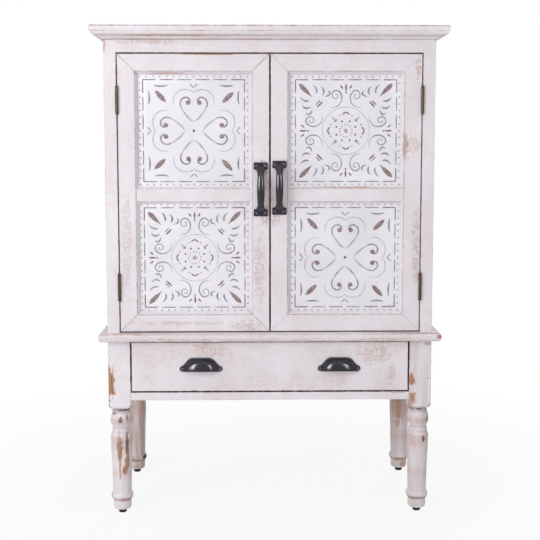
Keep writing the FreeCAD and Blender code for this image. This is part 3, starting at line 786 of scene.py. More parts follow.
@dataclass(frozen=True)
class Metal(Finish):
    """Metal with a fine cast, old or plated surface.

    A point attribute says where edges are rubbed bright; that lighter colour also paints highlights on
    raised bars, rims and screw heads.
    """

    colour: str
    second: str
    metallic: float
    roughness: float
    grit: float
    bump: float
    polish: str = "8d8795"
    mottle_size: float = 6.0
    mottle_span: Span = (0.4, 0.66)
    grain_span: Span = (0.3, 0.7)
    gloss_range: Span = (0.8, 1.25)
    bump_depth: float = 0.3

    def looks(self, node: Callable) -> dict[str, object]:
        """Mottles the metal and grains its gloss.

        Args:
            node: the function add for this material's tree.

        Returns:
            The shader's inputs.
        """
        place = node("TexCoord").outputs["Object"]
        mottle = node("TexNoise", place, frequency(self.grit * self.mottle_size), 4.0, 0.6)
        grain = node("TexNoise", place, frequency(self.grit), 2.0)
        shade = node("MapRange", mottle, *self.mottle_span)
        colour = node("Mix", shade, linear(self.colour), linear(self.second), data_type="RGBA")
        # lighter colour where edges are rubbed, which also paints highlights on raised parts
        bright = node("Attribute", attribute_name="polish", attribute_type="GEOMETRY").outputs["Fac"]
        gloss = (self.roughness * share for share in self.gloss_range)
        depth = self.bump_depth * MM
        return {
            "Base Color": node("Mix", bright, colour, linear(self.polish), data_type="RGBA"),
            "Roughness": node("MapRange", grain, *self.grain_span, *gloss),
            "Normal": node("Bump", {"Height": grain, "Strength": self.bump, "Distance": depth}),
            "Metallic": self.metallic,
        }


# Sand-cast iron under black lacquer: near black with a faint violet cast, soft broad highlights
BLACK_IRON = Metal("black lacquered cast iron", "25212c", "302a38", 0.0, 0.2, 0.9, 0.03)
# Brass dulled by age: brown in the hollows, yellow where it is handled
ANTIQUE_BRASS = Metal("antique brass", "63503f", "2a1f19", 1.0, 0.5, 0.6, 0.25)
# Rolled steel with bright zinc plating: even grey with a slight mottle
ZINC_STEEL = Metal("zinc plated steel", "b9bcc0", "a2a6ab", 1.0, 0.36, 1.5, 0.05)
# Moulded nylon: black, matt, faintly pebbled
BLACK_NYLON = Metal("black moulded nylon", "141414", "1c1c1d", 0.0, 0.55, 0.6, 0.1)
# Kiln-dried pine boards of the drawer box, planed
PINE = PlainTimber("planed pine", "d3b084", "b98f5f", Grain.DEEP)
# Thin birch plywood of the drawer's base, sanded
PLYWOOD = PlainTimber("sanded birch plywood", "cdb189", "bb9a70", Grain.ACROSS, 9.0)
# Thicker plywood of the case's back, its face veneer a little darker
BACK_PLY = PlainTimber("oiled plywood back", "b99670", "a07b55", Grain.UPRIGHT, 12.0)
# Hardboard: brown pressed fibre with a smooth tight face
HARDBOARD = PlainTimber("smooth hardboard", "96735a", "836147", Grain.ACROSS, 1.2, 0.5)
# Whitewashed mango wood with upright grain, for the case's sides and the doors' stiles
UPRIGHT_WOOD = WhitewashedWood("whitewashed mango wood, upright", Grain.UPRIGHT, spots=(
    Spot(341, 1058, 8, 24, HAZE, 0.8),
    Spot(343, 640, 12, 95, HAZE, 0.6),
    Spot(330, 880, 22, 18, HAZE, 0.5),
    Spot(-13, 800, 11, 44, RUBBED, 0.75),
    Spot(-12, 735, 12, 44, HAZE, 0.65),
    Spot(12, 740, 12, 50, HAZE, 0.6),
    Spot(-334, 640, 14, 130, HAZE, 0.4),
    Spot(-24, 590, 14, 90, HAZE, 0.45),
    Spot(313, 875, 8, 32, BARE, 0.55, -158, 6),
))
# The same along the rails and the inner boards
ACROSS_WOOD = WhitewashedWood("whitewashed mango wood, lengthwise", Grain.ACROSS, spots=(
    Spot(-280, 1114, 90, 5, HAZE, 0.5),
    Spot(-200, 464, 120, 5, HAZE, 0.45),
    Spot(-64, 457, 34, 14, HAZE, 0.5),
    Spot(-240, 1043, 50, 3.5, RUBBED, 0.7, -156, 6),
    Spot(174, 783, 110, 2.6, RUBBED, 0.95, -157, 6),
    Spot(-150, 1086.5, 70, 2.2, BARE, 0.9),
    Spot(300, 297, 24, 2.4, RUBBED, 0.8),
))
# The same on the aprons at the sides
DEEP_WOOD = WhitewashedWood("whitewashed mango wood, front to back", Grain.DEEP)
# The same on the top, the cornice and the waist board, rubbed most on their mouldings
CROWN_WOOD = WhitewashedWood("whitewashed mango wood, rubbed mouldings", Grain.ACROSS, rub=0.6, spots=(
    Spot(-220, 1127.5, 200, 2, RUBBED, 0.65, -178, 12),
    Spot(-240, 1127.2, 150, 1.2, BARE, 0.45, -178, 12),
    Spot(190, 1127.2, 420, 1.5, RUBBED, 0.4, -178, 12),
    # painted shadow, with dark brown antiquing, along the cornice's lower edge
    Spot(0, 1119.4, 900, 1.2, STAIN, 0.4, -163, 5),
    Spot(-120, 1120.6, 420, 1.3, BARE, 0.5, -165, 6),
    Spot(-60, 433, 700, 8, HAZE, 0.25, -178, 8),
    Spot(0, 439.6, 900, 1.3, RUBBED, 0.6, -177),
    # painted shade: a dark line under the waist board's front, over the drawer
    Spot(0, 421.5, 900, 2, STAIN, 0.8, -171, 6),
    Spot(0, 425.5, 900, 3.4, RUBBED, 0.45, -174, 6),
    Spot(398, 433, 11, 7, BARE, 0.9, -172, 16),
    Spot(-330, 441.5, 60, 3, RUBBED, 0.7, -172, 8),
    Spot(330, 441.5, 80, 3, RUBBED, 0.8, -172, 6),
))
# The same on the drawer's front, with the linen strongest
DRAWER_WOOD = WhitewashedWood("whitewashed mango wood, well rubbed", Grain.ACROSS, 0.45, 0.7, spots=(
    Spot(-141, 400, 38, 20, HAZE, 0.42),
    Spot(248, 388, 42, 24, HAZE, 0.42),
    Spot(288, 338, 9, 38, HAZE, 0.35),
    Spot(-179, 301, 7, 2.6, STAIN, 0.9, deep=3),
    # painted shade: a dark line along the drawer's top, under the waist board
    Spot(0, 418.6, 900, 1.4, STAIN, 0.7, deep=2),
))
# The same on the face frame's stiles, which people brush past
STILE_WOOD = WhitewashedWood(
    "whitewashed mango wood, rubbed stiles", Grain.UPRIGHT, rub=0.75,
    spots=(Spot(-381, 1108, 6, 16, RUBBED, 0.8, deep=5),),
)
# For each leg how far its wash has browned with age, which on the rear legs also paints their shade, and its
# knocks
LEG_WEAR = {
    "leg_front_left": (0.0, (
        Spot(-380, 325, 7, 44, deep=5),
        Spot(-373, 322, 7, 36, deep=5),
        Spot(-382, 280, 3.5, 20, STAIN, 0.6, deep=3),
        Spot(-357, 166, 8, 32, STAIN, 0.55, -158, 10),
        Spot(-356, 162, 6, 30, BARE, 0.85, -158, 10),
        Spot(-357, 126, 2.8, 40, BARE, 0.75, -158, 10),
        Spot(-340, 168, 3.8, 34, STAIN, 0.85, -153, 10),
        Spot(-339, 132, 5.5, 30, BARE, 0.9, -153, 10),
        Spot(-345, 108, 8, 10, BARE, 0.95, -156, 10),
        Spot(-355, 232, 5, 8, STAIN, 0.9, -158),
        Spot(-356, 234, 2.2, 3.4, RUBBED, 0.7, -158),
        Spot(-339, 235, 3, 7, BARE, 0.9, -152, 5),
        Spot(-372, 246, 10, 4, STAIN, 0.5, -152, 9),
        Spot(-380, 43, 5, 7, STAIN, 0.9, -140, 8),
        Spot(-348, 37, 12, 5, BARE, 0.6, -158, 8),
    )),
    "leg_front_right": (0.26, (
        Spot(336, 326, 9, 13, deep=5),
        Spot(330, 270, 7, 18, STAIN, 0.8, -156, 8),
        Spot(334, 277, 11, 20, RUBBED, deep=5),
        Spot(338, 283, 5, 12, BARE, 0.7, deep=5),
        Spot(372, 413, 14, 4, RUBBED, 0.8, deep=3),
        Spot(366, 183, 3, 8, STAIN, 0.9, -157, 5),
        Spot(374, 331, 1.6, 1.6, STAIN, 0.8, deep=3),
        Spot(378, 229, 12, 9, BARE, 0.9, -142, 16),
        Spot(352, 37, 20, 3.5, BARE, 0.6, -158, 8),
    )),
    "leg_rear_left": (0.68, (
        Spot(-338, 240, 10, 90, RUBBED, 0.8, 141, 14),
        Spot(-330, 43, 7, 9, STAIN, 1.0, 150, 12),
        Spot(-352, 18, 12, 14, BARE, 0.7, 138, 9),
    )),
    "leg_rear_right": (0.3, (
        Spot(348, 208, 26, 84, RUBBED, 0.75, 141, 14),
        Spot(350, 185, 7, 56, BARE, 0.55, 141, 14),
        Spot(356, 38, 20, 4, BARE, 0.7, 138, 12),
        Spot(364, 22, 12, 9, BARE, 0.6, 138, 12),
    )),
}


@dataclass
class Neighbours:
    """The CAD solids of each body, asked what lies at or near a place."""

    trees: dict[str, BVHTree] = field(default_factory=dict)
    boxes: dict[str, tuple[Vector, Vector]] = field(default_factory=dict)

    def about(self, place: Vector, reach: float, wanted: Callable) -> Iterator[BVHTree]:
        """Goes through the CAD solids whose boxes come within a reach of a place.

        Args:
            place: the place, in metres.
            reach: how far round it is looked, in metres.
            wanted: says of a node's name whether it counts.

        Yields:
            The search tree of each such solid, built when it is first needed.
        """
        for node in filter(wanted, BODY_OF):
            if node not in self.boxes:
                self.boxes[node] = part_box(node)
            low, high = self.boxes[node]
            if any(place[i] < low[i] - reach or place[i] > high[i] + reach for i in range(3)):
                continue
            if node not in self.trees:
                mesh = frame["nodes"][node].data
                corners = [vert.co for vert in mesh.vertices]
                faces = [tuple(face.vertices) for face in mesh.polygons]
                self.trees[node] = BVHTree.FromPolygons(corners, faces)
            yield self.trees[node]

    def facing(self, node: str, place: Vector, reach: float) -> bool:
        """Whether a piece of another body comes near a place.

        Args:
            node: the node that the place is on.
            place: the place, in metres.
            reach: how near, in millimetres.

        Returns:
            True for any piece apart from hinges and strike plates, which show no gap.
        """
        def wanted(other: str) -> bool:
            """Whether a node is a piece of another body that can show a gap."""
            return BODY_OF[other] != BODY_OF[node] and "hinge" not in other and "strike" not in other

        edge = reach * MM
        return any(tree.find_nearest(place, edge)[0] is not None for tree in self.about(place, edge, wanted))

    def hold(self, node: str, place: Vector) -> bool:
        """Whether a place lies inside another member of the node's body.

        Args:
            node: the node that the place is beside.
            place: the place, in metres.

        Returns:
            True inside any such member.
        """
        body = BODY_OF[node]
        for tree in self.about(place, 0.0, lambda other: other != node and BODY_OF[other] == body):
            near, normal, _, _ = tree.find_nearest(place)
            if (place - near).dot(normal) < 0:
                return True
        return False


NEIGHBOURS = Neighbours()


@dataclass
class Part:
    """A piece that takes the place of one CAD node."""

    node: str
    finish: Finish
    smooth: float = 30.0

    def __post_init__(self) -> None:
        """Notes the corners and the middle of the node's box."""
        self.low, self.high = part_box(self.node)
        self.middle = (self.low + self.high) / 2

    def model(self) -> Piece:
        """Models the piece in its place, without its material."""
        raise NotImplementedError

    def make(self) -> Piece:
        """Models, names and shades the piece, and puts it in its node's place.

        Returns:
            The finished piece.
        """
        piece = self.model()
        piece.name = piece.data.name = f"{self.node}_finished"
        Bench.smooth(piece, self.smooth)
        return Bench.place(piece, self.finish.material(), self.node)


class Edge(Enum):
    """The kinds of sharp edge a member has, as the share of the full easing each gets."""

    FREE = 1.0
    SIGHT = 0.45
    SEAM = 0.4


@dataclass(frozen=True)
class Arris:
    """A sharp edge of a member, from end to end."""

    start: Vector
    end: Vector
    kind: Edge

    def gap(self, place: Vector) -> float:
        """How far a place lies from it.

        Args:
            place: any place, in metres.

        Returns:
            The distance, in millimetres.
        """
        run = self.end - self.start
        along = min(1.0, max(0.0, (place - self.start).dot(run) / run.length_squared))
        return (place - self.start - run * along).length / MM


@dataclass
class Board(Part):
    """A wooden member: its CAD solid with eased arrises and a record of how near an arris is.

    An arris where another member lies flush is left tight. Cuts a little way in from each flat
    face carry the point attribute "edge_wear", which is one on an arris and falls to nothing
    away from it, so that the finish knows where hands rub.
    """

    seam: float = 0.0
    sight: float = 0.7
    splits: tuple[float, ...] = ()
    gap_reach: float = 4.2
    gap_glaze_and_shade: float = 1.3
    gap_lip: float = 0.15
    tight: float = 0.5
    arris: float = 0.9
    near: float = 2.0
    near_wear: float = 0.4
    far: float = 6.0
    shortest: float = 9.0
    least_turn: float = 20.0
    sight_slope: float = -0.2
    least_face: float = 60.0
    probe: float = 0.25

    def model(self) -> Piece:
        """Eases the CAD solid's arrises, cuts its faces for the wear and marks it.

        Returns:
            The member.
        """
        piece = Bench.copy_node(self.node)
        with Bench.editing(piece):
            for height in self.splits:
                Bench.slice(mm(0, 0, height), UP)
        arrises, planes = self.survey(piece)
        Bench.modify(piece, "BEVEL", limit_method="WEIGHT", width=self.arris * MM, segments=2)
        with Bench.editing(piece):
            for normal, point in planes:
                for depth in (self.near, self.far):
                    Bench.slice(point - normal * depth * MM, normal)
        self.mark_wear(piece, arrises)
        return piece

    def is_arris(self, edge: bmesh.types.BMEdge) -> bool:
        """Whether an edge stands proud, and is long and sharp enough to be eased.

        Args:
            edge: an edge of the merged CAD solid.

        Returns:
            True for an arris.
        """
        if len(edge.link_faces) != 2 or edge.calc_length() < self.shortest * MM:
            return False
        return edge.is_convex and edge.calc_face_angle() > math.radians(self.least_turn)

    def is_seam(self, edge: bmesh.types.BMEdge) -> bool:
        """Whether another member lies against a face at this edge.

        Args:
            edge: an edge between two faces.

        Returns:
            True where a place just beyond the edge is inside a member.
        """
        middle = (edge.verts[0].co + edge.verts[1].co) / 2
        first, second = (face.normal * self.probe * MM for face in edge.link_faces)
        return any(NEIGHBOURS.hold(self.node, middle + step) for step in (first - second, second - first))

    def survey(self, piece: Piece) -> tuple[list[Arris], list[tuple[Vector, Vector]]]:
        """Notes the arrises and the planes of the flat faces, and weighs the edges for easing.

        Args:
            piece: the merged copy of the CAD solid.

        Returns:
            The arrises, and for each plane its normal and one point of it.
        """
        sketch = bmesh.new()
        sketch.from_mesh(piece.data)
        weights = piece.data.attributes.new("bevel_weight_edge", "FLOAT", "EDGE")
        arrises = []
        for index, edge in enumerate(sketch.edges):
            if self.is_arris(edge):
                kind = Edge.SEAM if self.is_seam(edge) else Edge.FREE
                if all(face.normal.y < self.sight_slope for face in edge.link_faces):
                    kind = Edge.SIGHT
                weights.data[index].value = kind.value if kind is not Edge.SEAM or self.seam else 0.0
                arrises.append(Arris(edge.verts[0].co.copy(), edge.verts[1].co.copy(), kind))
        planes = {}
        for face in sketch.faces:
            if face.calc_area() > self.least_face * MM * MM:
                point = face.calc_center_median()
                key = (*(round(n, 2) for n in face.normal), round(face.normal.dot(point) / MM, 1))
                planes[key] = (face.normal.copy(), point)
        sketch.free()
        return arrises, list(planes.values())

    def mark_wear(self, piece: Piece, arrises: Sequence[Arris]) -> None:
        """Writes each point's wear from its distance to the arrises, dark brown antiquing in seams, and dark
        brown in gaps to other bodies, where it also paints the gaps' shade.

        Args:
            piece: the eased and cut member.
            arrises: its arrises as they were before easing.
        """
        wear, glaze = Bench.layers(piece, "edge_wear", "glaze")
        dark_of = {Edge.SEAM: self.seam, Edge.SIGHT: self.sight}
        for index, vert in enumerate(piece.data.vertices):
            rubbed = dark = 0.0
            for arris in arrises:
                gap = arris.gap(vert.co)
                if arris.kind is not Edge.FREE:
                    dark = max(dark, dark_of[arris.kind] if gap <= self.tight else 0.0)
                elif gap <= self.near:
                    share = max(0.0, gap - self.arris) / (self.near - self.arris)
                    rubbed = max(rubbed, 1.0 - (1.0 - self.near_wear) * share)
                else:
                    rubbed = max(rubbed, self.near_wear * max(0.0, self.far - gap) / (self.far - self.near))
            depth = (vert.co.y - self.low.y) / MM
            at_front = self.gap_lip < depth < self.far + self.tight
            # dark brown on faces in a gap to another body: antiquing, and painted shade of the gap
            if at_front and NEIGHBOURS.facing(self.node, vert.co, self.gap_reach):
                dark = self.gap_glaze_and_shade
            wear.data[index].value = rubbed
            glaze.data[index].value = dark


@dataclass(frozen=True)
class Station:
    """One step of a turned outline: radius and height, how the surface is worn there, and its dark brown
    antiquing, which also paints shade under the ring and the block.
    """

    radius: float
    height: float
    edge_wear: float = 0.0
    handled: float = 0.0
    glaze: float = 0.0


# The turned length of a leg above its foot, in groups from the floor up, as rows of Station
# The last column of a row is dark brown antiquing in the grooves, also painted shade under the ring and the
# block
LEG_OUTLINE = {
    "foot": ((21.1, 30, 0, 0.1), (21.3, 33, 0.1, 0.1, 0.5), (22.5, 33.8, 0.2, 0.2, 0.75)),
    "ring": (
        (24.4, 37, 0.5, 0.3, 0.55), (25.7, 40.5, 0.75, 0.2, 0.1), (26, 43.5, 0.5), (25.3, 46.7, 0.2),
        (23.3, 49.4), (22.2, 52, 0, 0, 0.12),
    ),
    "column": (
        (21.9, 54), (22.3, 75, 0, 0.1), (23.1, 100, 0, 0.5), (23.4, 122, 0, 0.1), (24.9, 155.5, 0, 0.25),
        (25.4, 175.5, 0.1, 0.75), (25.6, 189.5, 0.3, 0.7), (24.7, 193.1, 0.4, 0.2),
    ),
    "collar": (
        (22, 197.1, 0.1, 0.1), (22.6, 198.9, 0.3, 0.2), (22.6, 204.9, 0.2, 0.15), (21.6, 206.5, 0.3, 0.1),
    ),
    "groove": ((20.2, 209.3, 0, 0.1, 0.25), (20.6, 211.5, 0, 0.1, 0.2)),
    "bulb": (
        (23.5, 217.5, 0.2, 0.15), (25, 223, 0.2, 0.8), (25.4, 230, 0.3, 0.75), (24.9, 236, 0.2, 0.3),
        (23.2, 243.5, 0.1, 0.1),
    ),
    "neck": (
        (22, 246.6, 0.2, 0.1), (20.8, 247.4, 0, 0.2, 0.35), (21.8, 248.4, 0.4, 0.3), (21.7, 250.6, 0.3, 0.2),
        (20.6, 251.4, 0, 0.2, 0.8), (20.6, 255.4, 0, 0, 1), (23.2, 257.6, 0, 0, 1),
    ),
    "shoulder": (
        (25.2, 258.2, 0.2, 0.2, 0.8), (30.4, 259.4, 0.4), (34, 262.4, 0.5), (36.2, 267, 0.6),
        (38.5, 272, 0.6),
    ),
}


@dataclass
class Leg(Part):
    """A turned leg: a square block that runs into a bulb, collar, tapered column, ring and foot."""

    smooth: float = 35.0
    pattern: Piece | None = None
    segments: int = 64
    half: float = 26.0
    foot: float = 21.1
    foot_round: float = 5.0
    foot_bend: float = 0.3
    overlap: float = 5.0
    neck_height: float = 250.0
    block_wear: float = 257.0
    block_foot: float = 258.0
    shoulder_height: float = 272.0
    block_corner: float = 38.5
    rail_height: float = 299.0
    arris: float = 0.9
    side_skin: float = 0.05
    side_slope: float = 0.1
    skin: float = 0.95
    arris_fade: float = 3.8
    foot_glaze_and_shade: float = 0.9
    glaze_and_shade_fade: float = 2.6
    gap_glaze_and_shade: float = 1.3
    gap_depths: tuple[float, float] = (0.5, 13.0)
    cuts_across: tuple[float, ...] = (-24.6, -21.0, -14.0, 0.0, 14.0, 21.0, 24.6)
    cuts_up: tuple[float, ...] = (261.0, 263.5, 267.0, 271.0, 276.0, 298.0, 300.0)

    def profile(self) -> list[Station]:
        """The turned outline from the floor up to just over the block, in millimetres.

        Returns:
            Its stations, the first and the last on the axis.
        """
        under, top = self.low.z / MM, self.high.z / MM + self.overlap
        bend = self.foot_bend * self.foot_round
        return [
            Station(0, under),
            Station(self.foot - self.foot_round, under, 0.3),
            Station(self.foot - bend, under + bend, 0.4),
            Station(self.foot, under + self.foot_round, 0.3, 0.15),
            *(Station(*row) for rows in LEG_OUTLINE.values() for row in rows),
            Station(self.block_corner, top),
            Station(0, top),
        ]

    def upright(self) -> Piece:
        """Spins the outline, squares the block and cuts its faces for the wear, on the upright axis.

        Returns:
            The pattern that all four legs are copied from.
        """
        turned = Bench.turned("leg_pattern", [(s.radius, s.height) for s in self.profile()], self.segments)
        low, high = self.low, self.high
        away = Vector((self.middle.x, self.middle.y, 0))
        stock = Bench.block("leg_stock", low - away - mm(0, 0, 1), high - away)
        with Bench.editing(stock):
            Bench.select(stock, "EDGE", lambda edge: max(vert.co.z for vert in edge.verts) > low.z + MM)
            bpy.ops.mesh.bevel(offset=self.arris * MM, segments=2, affect="EDGES")
        Bench.cut(turned, stock, "INTERSECT")
        with Bench.editing(turned):
            for normal in (Vector((1, 0, 0)), Vector((0, 1, 0))):
                for step in self.cuts_across:
                    Bench.select(turned, "FACE", self.on_block)
                    bpy.ops.mesh.bisect(plane_co=normal * step * MM, plane_no=normal)
            for height in self.cuts_up:
                Bench.select(turned, "FACE", self.on_block)
                bpy.ops.mesh.bisect(plane_co=mm(0, 0, height), plane_no=UP)
        return turned

    def on_block(self, face: bmesh.types.BMFace) -> bool:
        """Whether a face of the pattern is one of the block's flat sides.

        Args:
            face: a face of the turned and squared pattern.

        Returns:
            True for the four sides above the block's foot.
        """
        middle = face.calc_center_median() / MM
        across = max(abs(middle.x), abs(middle.y))
        upright = abs(face.normal.z) < self.side_slope
        return upright and across > self.half - self.side_skin and middle.z > self.block_foot

    def model(self) -> Piece:
        """Copies the pattern to this leg's place and marks its wear.

        Returns:
            The leg.
        """
        leg = Bench.copy(self.pattern, "leg", Matrix.Translation((self.middle.x, self.middle.y, 0)))
        self.mark_wear(leg)
        return leg

    def mark_wear(self, piece: Piece) -> None:
        """Writes how each point is worn, from the outline and the distance to the block's arrises, with dark
        brown as antiquing and painted shade under the block and beside the drawer.

        Args:
            piece: the leg in its place.
        """
        axis = self.middle
        layers = Bench.layers(piece, "edge_wear", "handled", "glaze")
        outline = self.profile()
        shoulder = [s for s in outline if s.radius >= self.half - 1.0 and s.height > self.neck_height]
        for index, vert in enumerate(piece.data.vertices):
            height = vert.co.z / MM
            gaps = [self.half - abs(vert.co[i] - axis[i]) / MM for i in (0, 1)]
            radius = math.hypot(self.half - gaps[0], self.half - gaps[1])
            if height > self.block_wear and min(gaps) < self.skin:
                foot = next((s.height for s in shoulder if s.radius >= radius), self.shoulder_height)
                below = abs(height - foot)
                gap = min(math.hypot(*gaps), below + self.arris)
                inward = (vert.co.x - axis.x) * axis.x < 0 and gaps[0] < self.skin
                beside = inward and self.gap_depths[0] < (vert.co.y - self.low.y) / MM < self.gap_depths[1]
                # dark brown along the block's lower edge: antiquing, and painted shade under the shoulder
                dark = self.foot_glaze_and_shade * max(0.0, 1.0 - below / self.glaze_and_shade_fade)
                # dark brown on the leg's inner side beside the drawer: antiquing, and painted shade of the
                # gap
                if beside and height > self.rail_height:
                    dark = self.gap_glaze_and_shade
                values = (max(0.0, 1.0 - (gap - self.arris) / self.arris_fade), 0.0, dark)
            else:
                here = min(outline, key=lambda s: abs(s.height - height) + abs(s.radius - radius))
                values = (here.edge_wear, here.handled, here.glaze)
            for layer, value in zip(layers, values):
                layer.data[index].value = value


class Ornament(Enum):
    """The two pressed patterns of the door panels."""

    HEARTS = "hearts"
    ROSETTE = "rosette"


class Tone(Enum):
    """How a raised line is rubbed: how much, and how brown against grey."""

    CLEAN = (0.0, 0.0)
    FAINT = (0.42, 0.25)
    BLUED = (0.52, 0.05)
    GREY = (0.64, 0.3)
    MIXED = (0.66, 0.55)
    BROWN = (0.84, 0.95)
    LEAF = (0.65, 1.0)


CLEAN, FAINT, BLUED, GREY, MIXED, BROWN, LEAF = Tone

# The ornaments' marks from the panel's centre, in millimetres: a tone, then across, up and half
# width of each point of a line, or across, up and radius of a dot
HEART_HALF = (
    (BLUED, (0.3, 20.5, 0.8), (6.9, 25.2, 1.2), (13, 31, 2.4), (19, 38, 2.2), (24.5, 45.5, 1.1),
     (29.3, 54, 1.1)),
    (GREY, (28.6, 52.5, 1.1), (31, 61, 1.2), (29.5, 69, 1.3), (23, 75.5, 1.3), (14.5, 76, 1.4),
     (9.3, 71, 1.4), (9, 65.5, 1.2)),
    (LEAF, (13, 64.5, 6.2)),
    (FAINT, (44.5, 55, 0.3), (47, 66, 0.8), (45, 78, 1), (37, 88.5, 1.1), (26, 93.8, 1.1), (14, 94, 1.1),
     (5.5, 91.5, 1), (0.4, 87.5, 0.7)),
    (MIXED, (0.4, 99, 0.7), (4.5, 103, 0.9), (8.8, 107, 0.7)),
    (GREY, (58, 105.5, 0.4), (66, 103, 1.3), (76, 102.2, 1.7), (86, 103, 1.3), (93, 105, 0.4)),
)
HEART_LEAF = (
    (LEAF, (63, 61.5, 0.5), (68.5, 66.6, 4), (75.5, 73.2, 6.4), (82.5, 79.9, 6.3), (89.8, 86.4, 3.9),
     (95.5, 91.4, 0.5)),
)
SCROLL_HALF = (
    (GREY, (42.5, 53.5, 0.3), (27, 54.2, 0.6), (15.5, 60.5, 0.8), (10.3, 71, 1), (12, 84.5, 1.2),
     (21, 92.5, 1.1), (30, 89, 1), (32, 81.5, 0.9), (26.8, 74.2, 0.8), (19.3, 77, 0.7),
     (20.5, 84, 0.7), (24.8, 82.5, 0.6)),
    (GREY, (78.5, 107, 0.4), (71, 99.5, 1.4), (68, 91, 1.7), (69.5, 84, 0.4)),
    (GREY, (59.5, 102, 0.4), (53.5, 97, 1.4), (51.8, 89.5, 1.7), (56, 80, 0.4)),
    (GREY, (42.5, 92.5, 0.4), (37.8, 88, 1.3), (39.5, 82.5, 1.6), (50, 78, 0.4)),
)
CORNER_DROP = (
    (LEAF, (67, 68, 0.9), (75, 76, 1.5), (83, 84, 3.4), (92, 93, 5.6), (100, 101, 6.2), (107, 108, 3.2)),
    (BROWN, (54.5, 66.5, 0.9), (60.5, 60.5, 1.4), (66.5, 54.5, 0.9)),
    (MIXED, (60, 69.5, 0.8), (64.7, 64.7, 1.2), (69.5, 60, 0.8)),
    (BROWN, (0, 107.5, 0.8), (0, 101, 2.2), (0, 95, 1.4), (0, 90, 0.8)),
    (MIXED, (0, 87.5, 2.4)),
)
DAGGER_LEAF = ((BROWN, (13.5, 105.5, 0.4), (10.8, 100.5, 1.4), (7.2, 96.5, 0.6)),)
STAR = (
    (BROWN, (0.6, 42.8, 1.1), (4.6, 40.2, 1.1), (8.5, 37.6, 0.9)),
    (MIXED, (12, 36, 0.8), (16, 33.8, 0.7)),
    (MIXED, (33.8, 16, 0.7), (36, 12, 0.8)),
    (BROWN, (37.6, 8.5, 0.9), (40.2, 4.6, 1.1), (42.8, 0.6, 1.1)),
    (BROWN, (9, 21.8, 2.5)),
    (BROWN, (21.8, 9, 2.5)),
    (MIXED, (32.5, 33, 0.5), (28, 28.5, 0.9), (22.5, 23, 1.2)),
    (MIXED, (22, 28, 0.6), (22.3, 23, 1), (27.5, 22, 0.6)),
    (MIXED, (2.5, 14.3, 0.8), (6, 13.2, 0.8)),
    (MIXED, (9.5, 11, 0.8), (11.6, 8.6, 0.8)),
    (MIXED, (13.6, 4.2, 0.8), (14.4, 1, 0.8)),
)


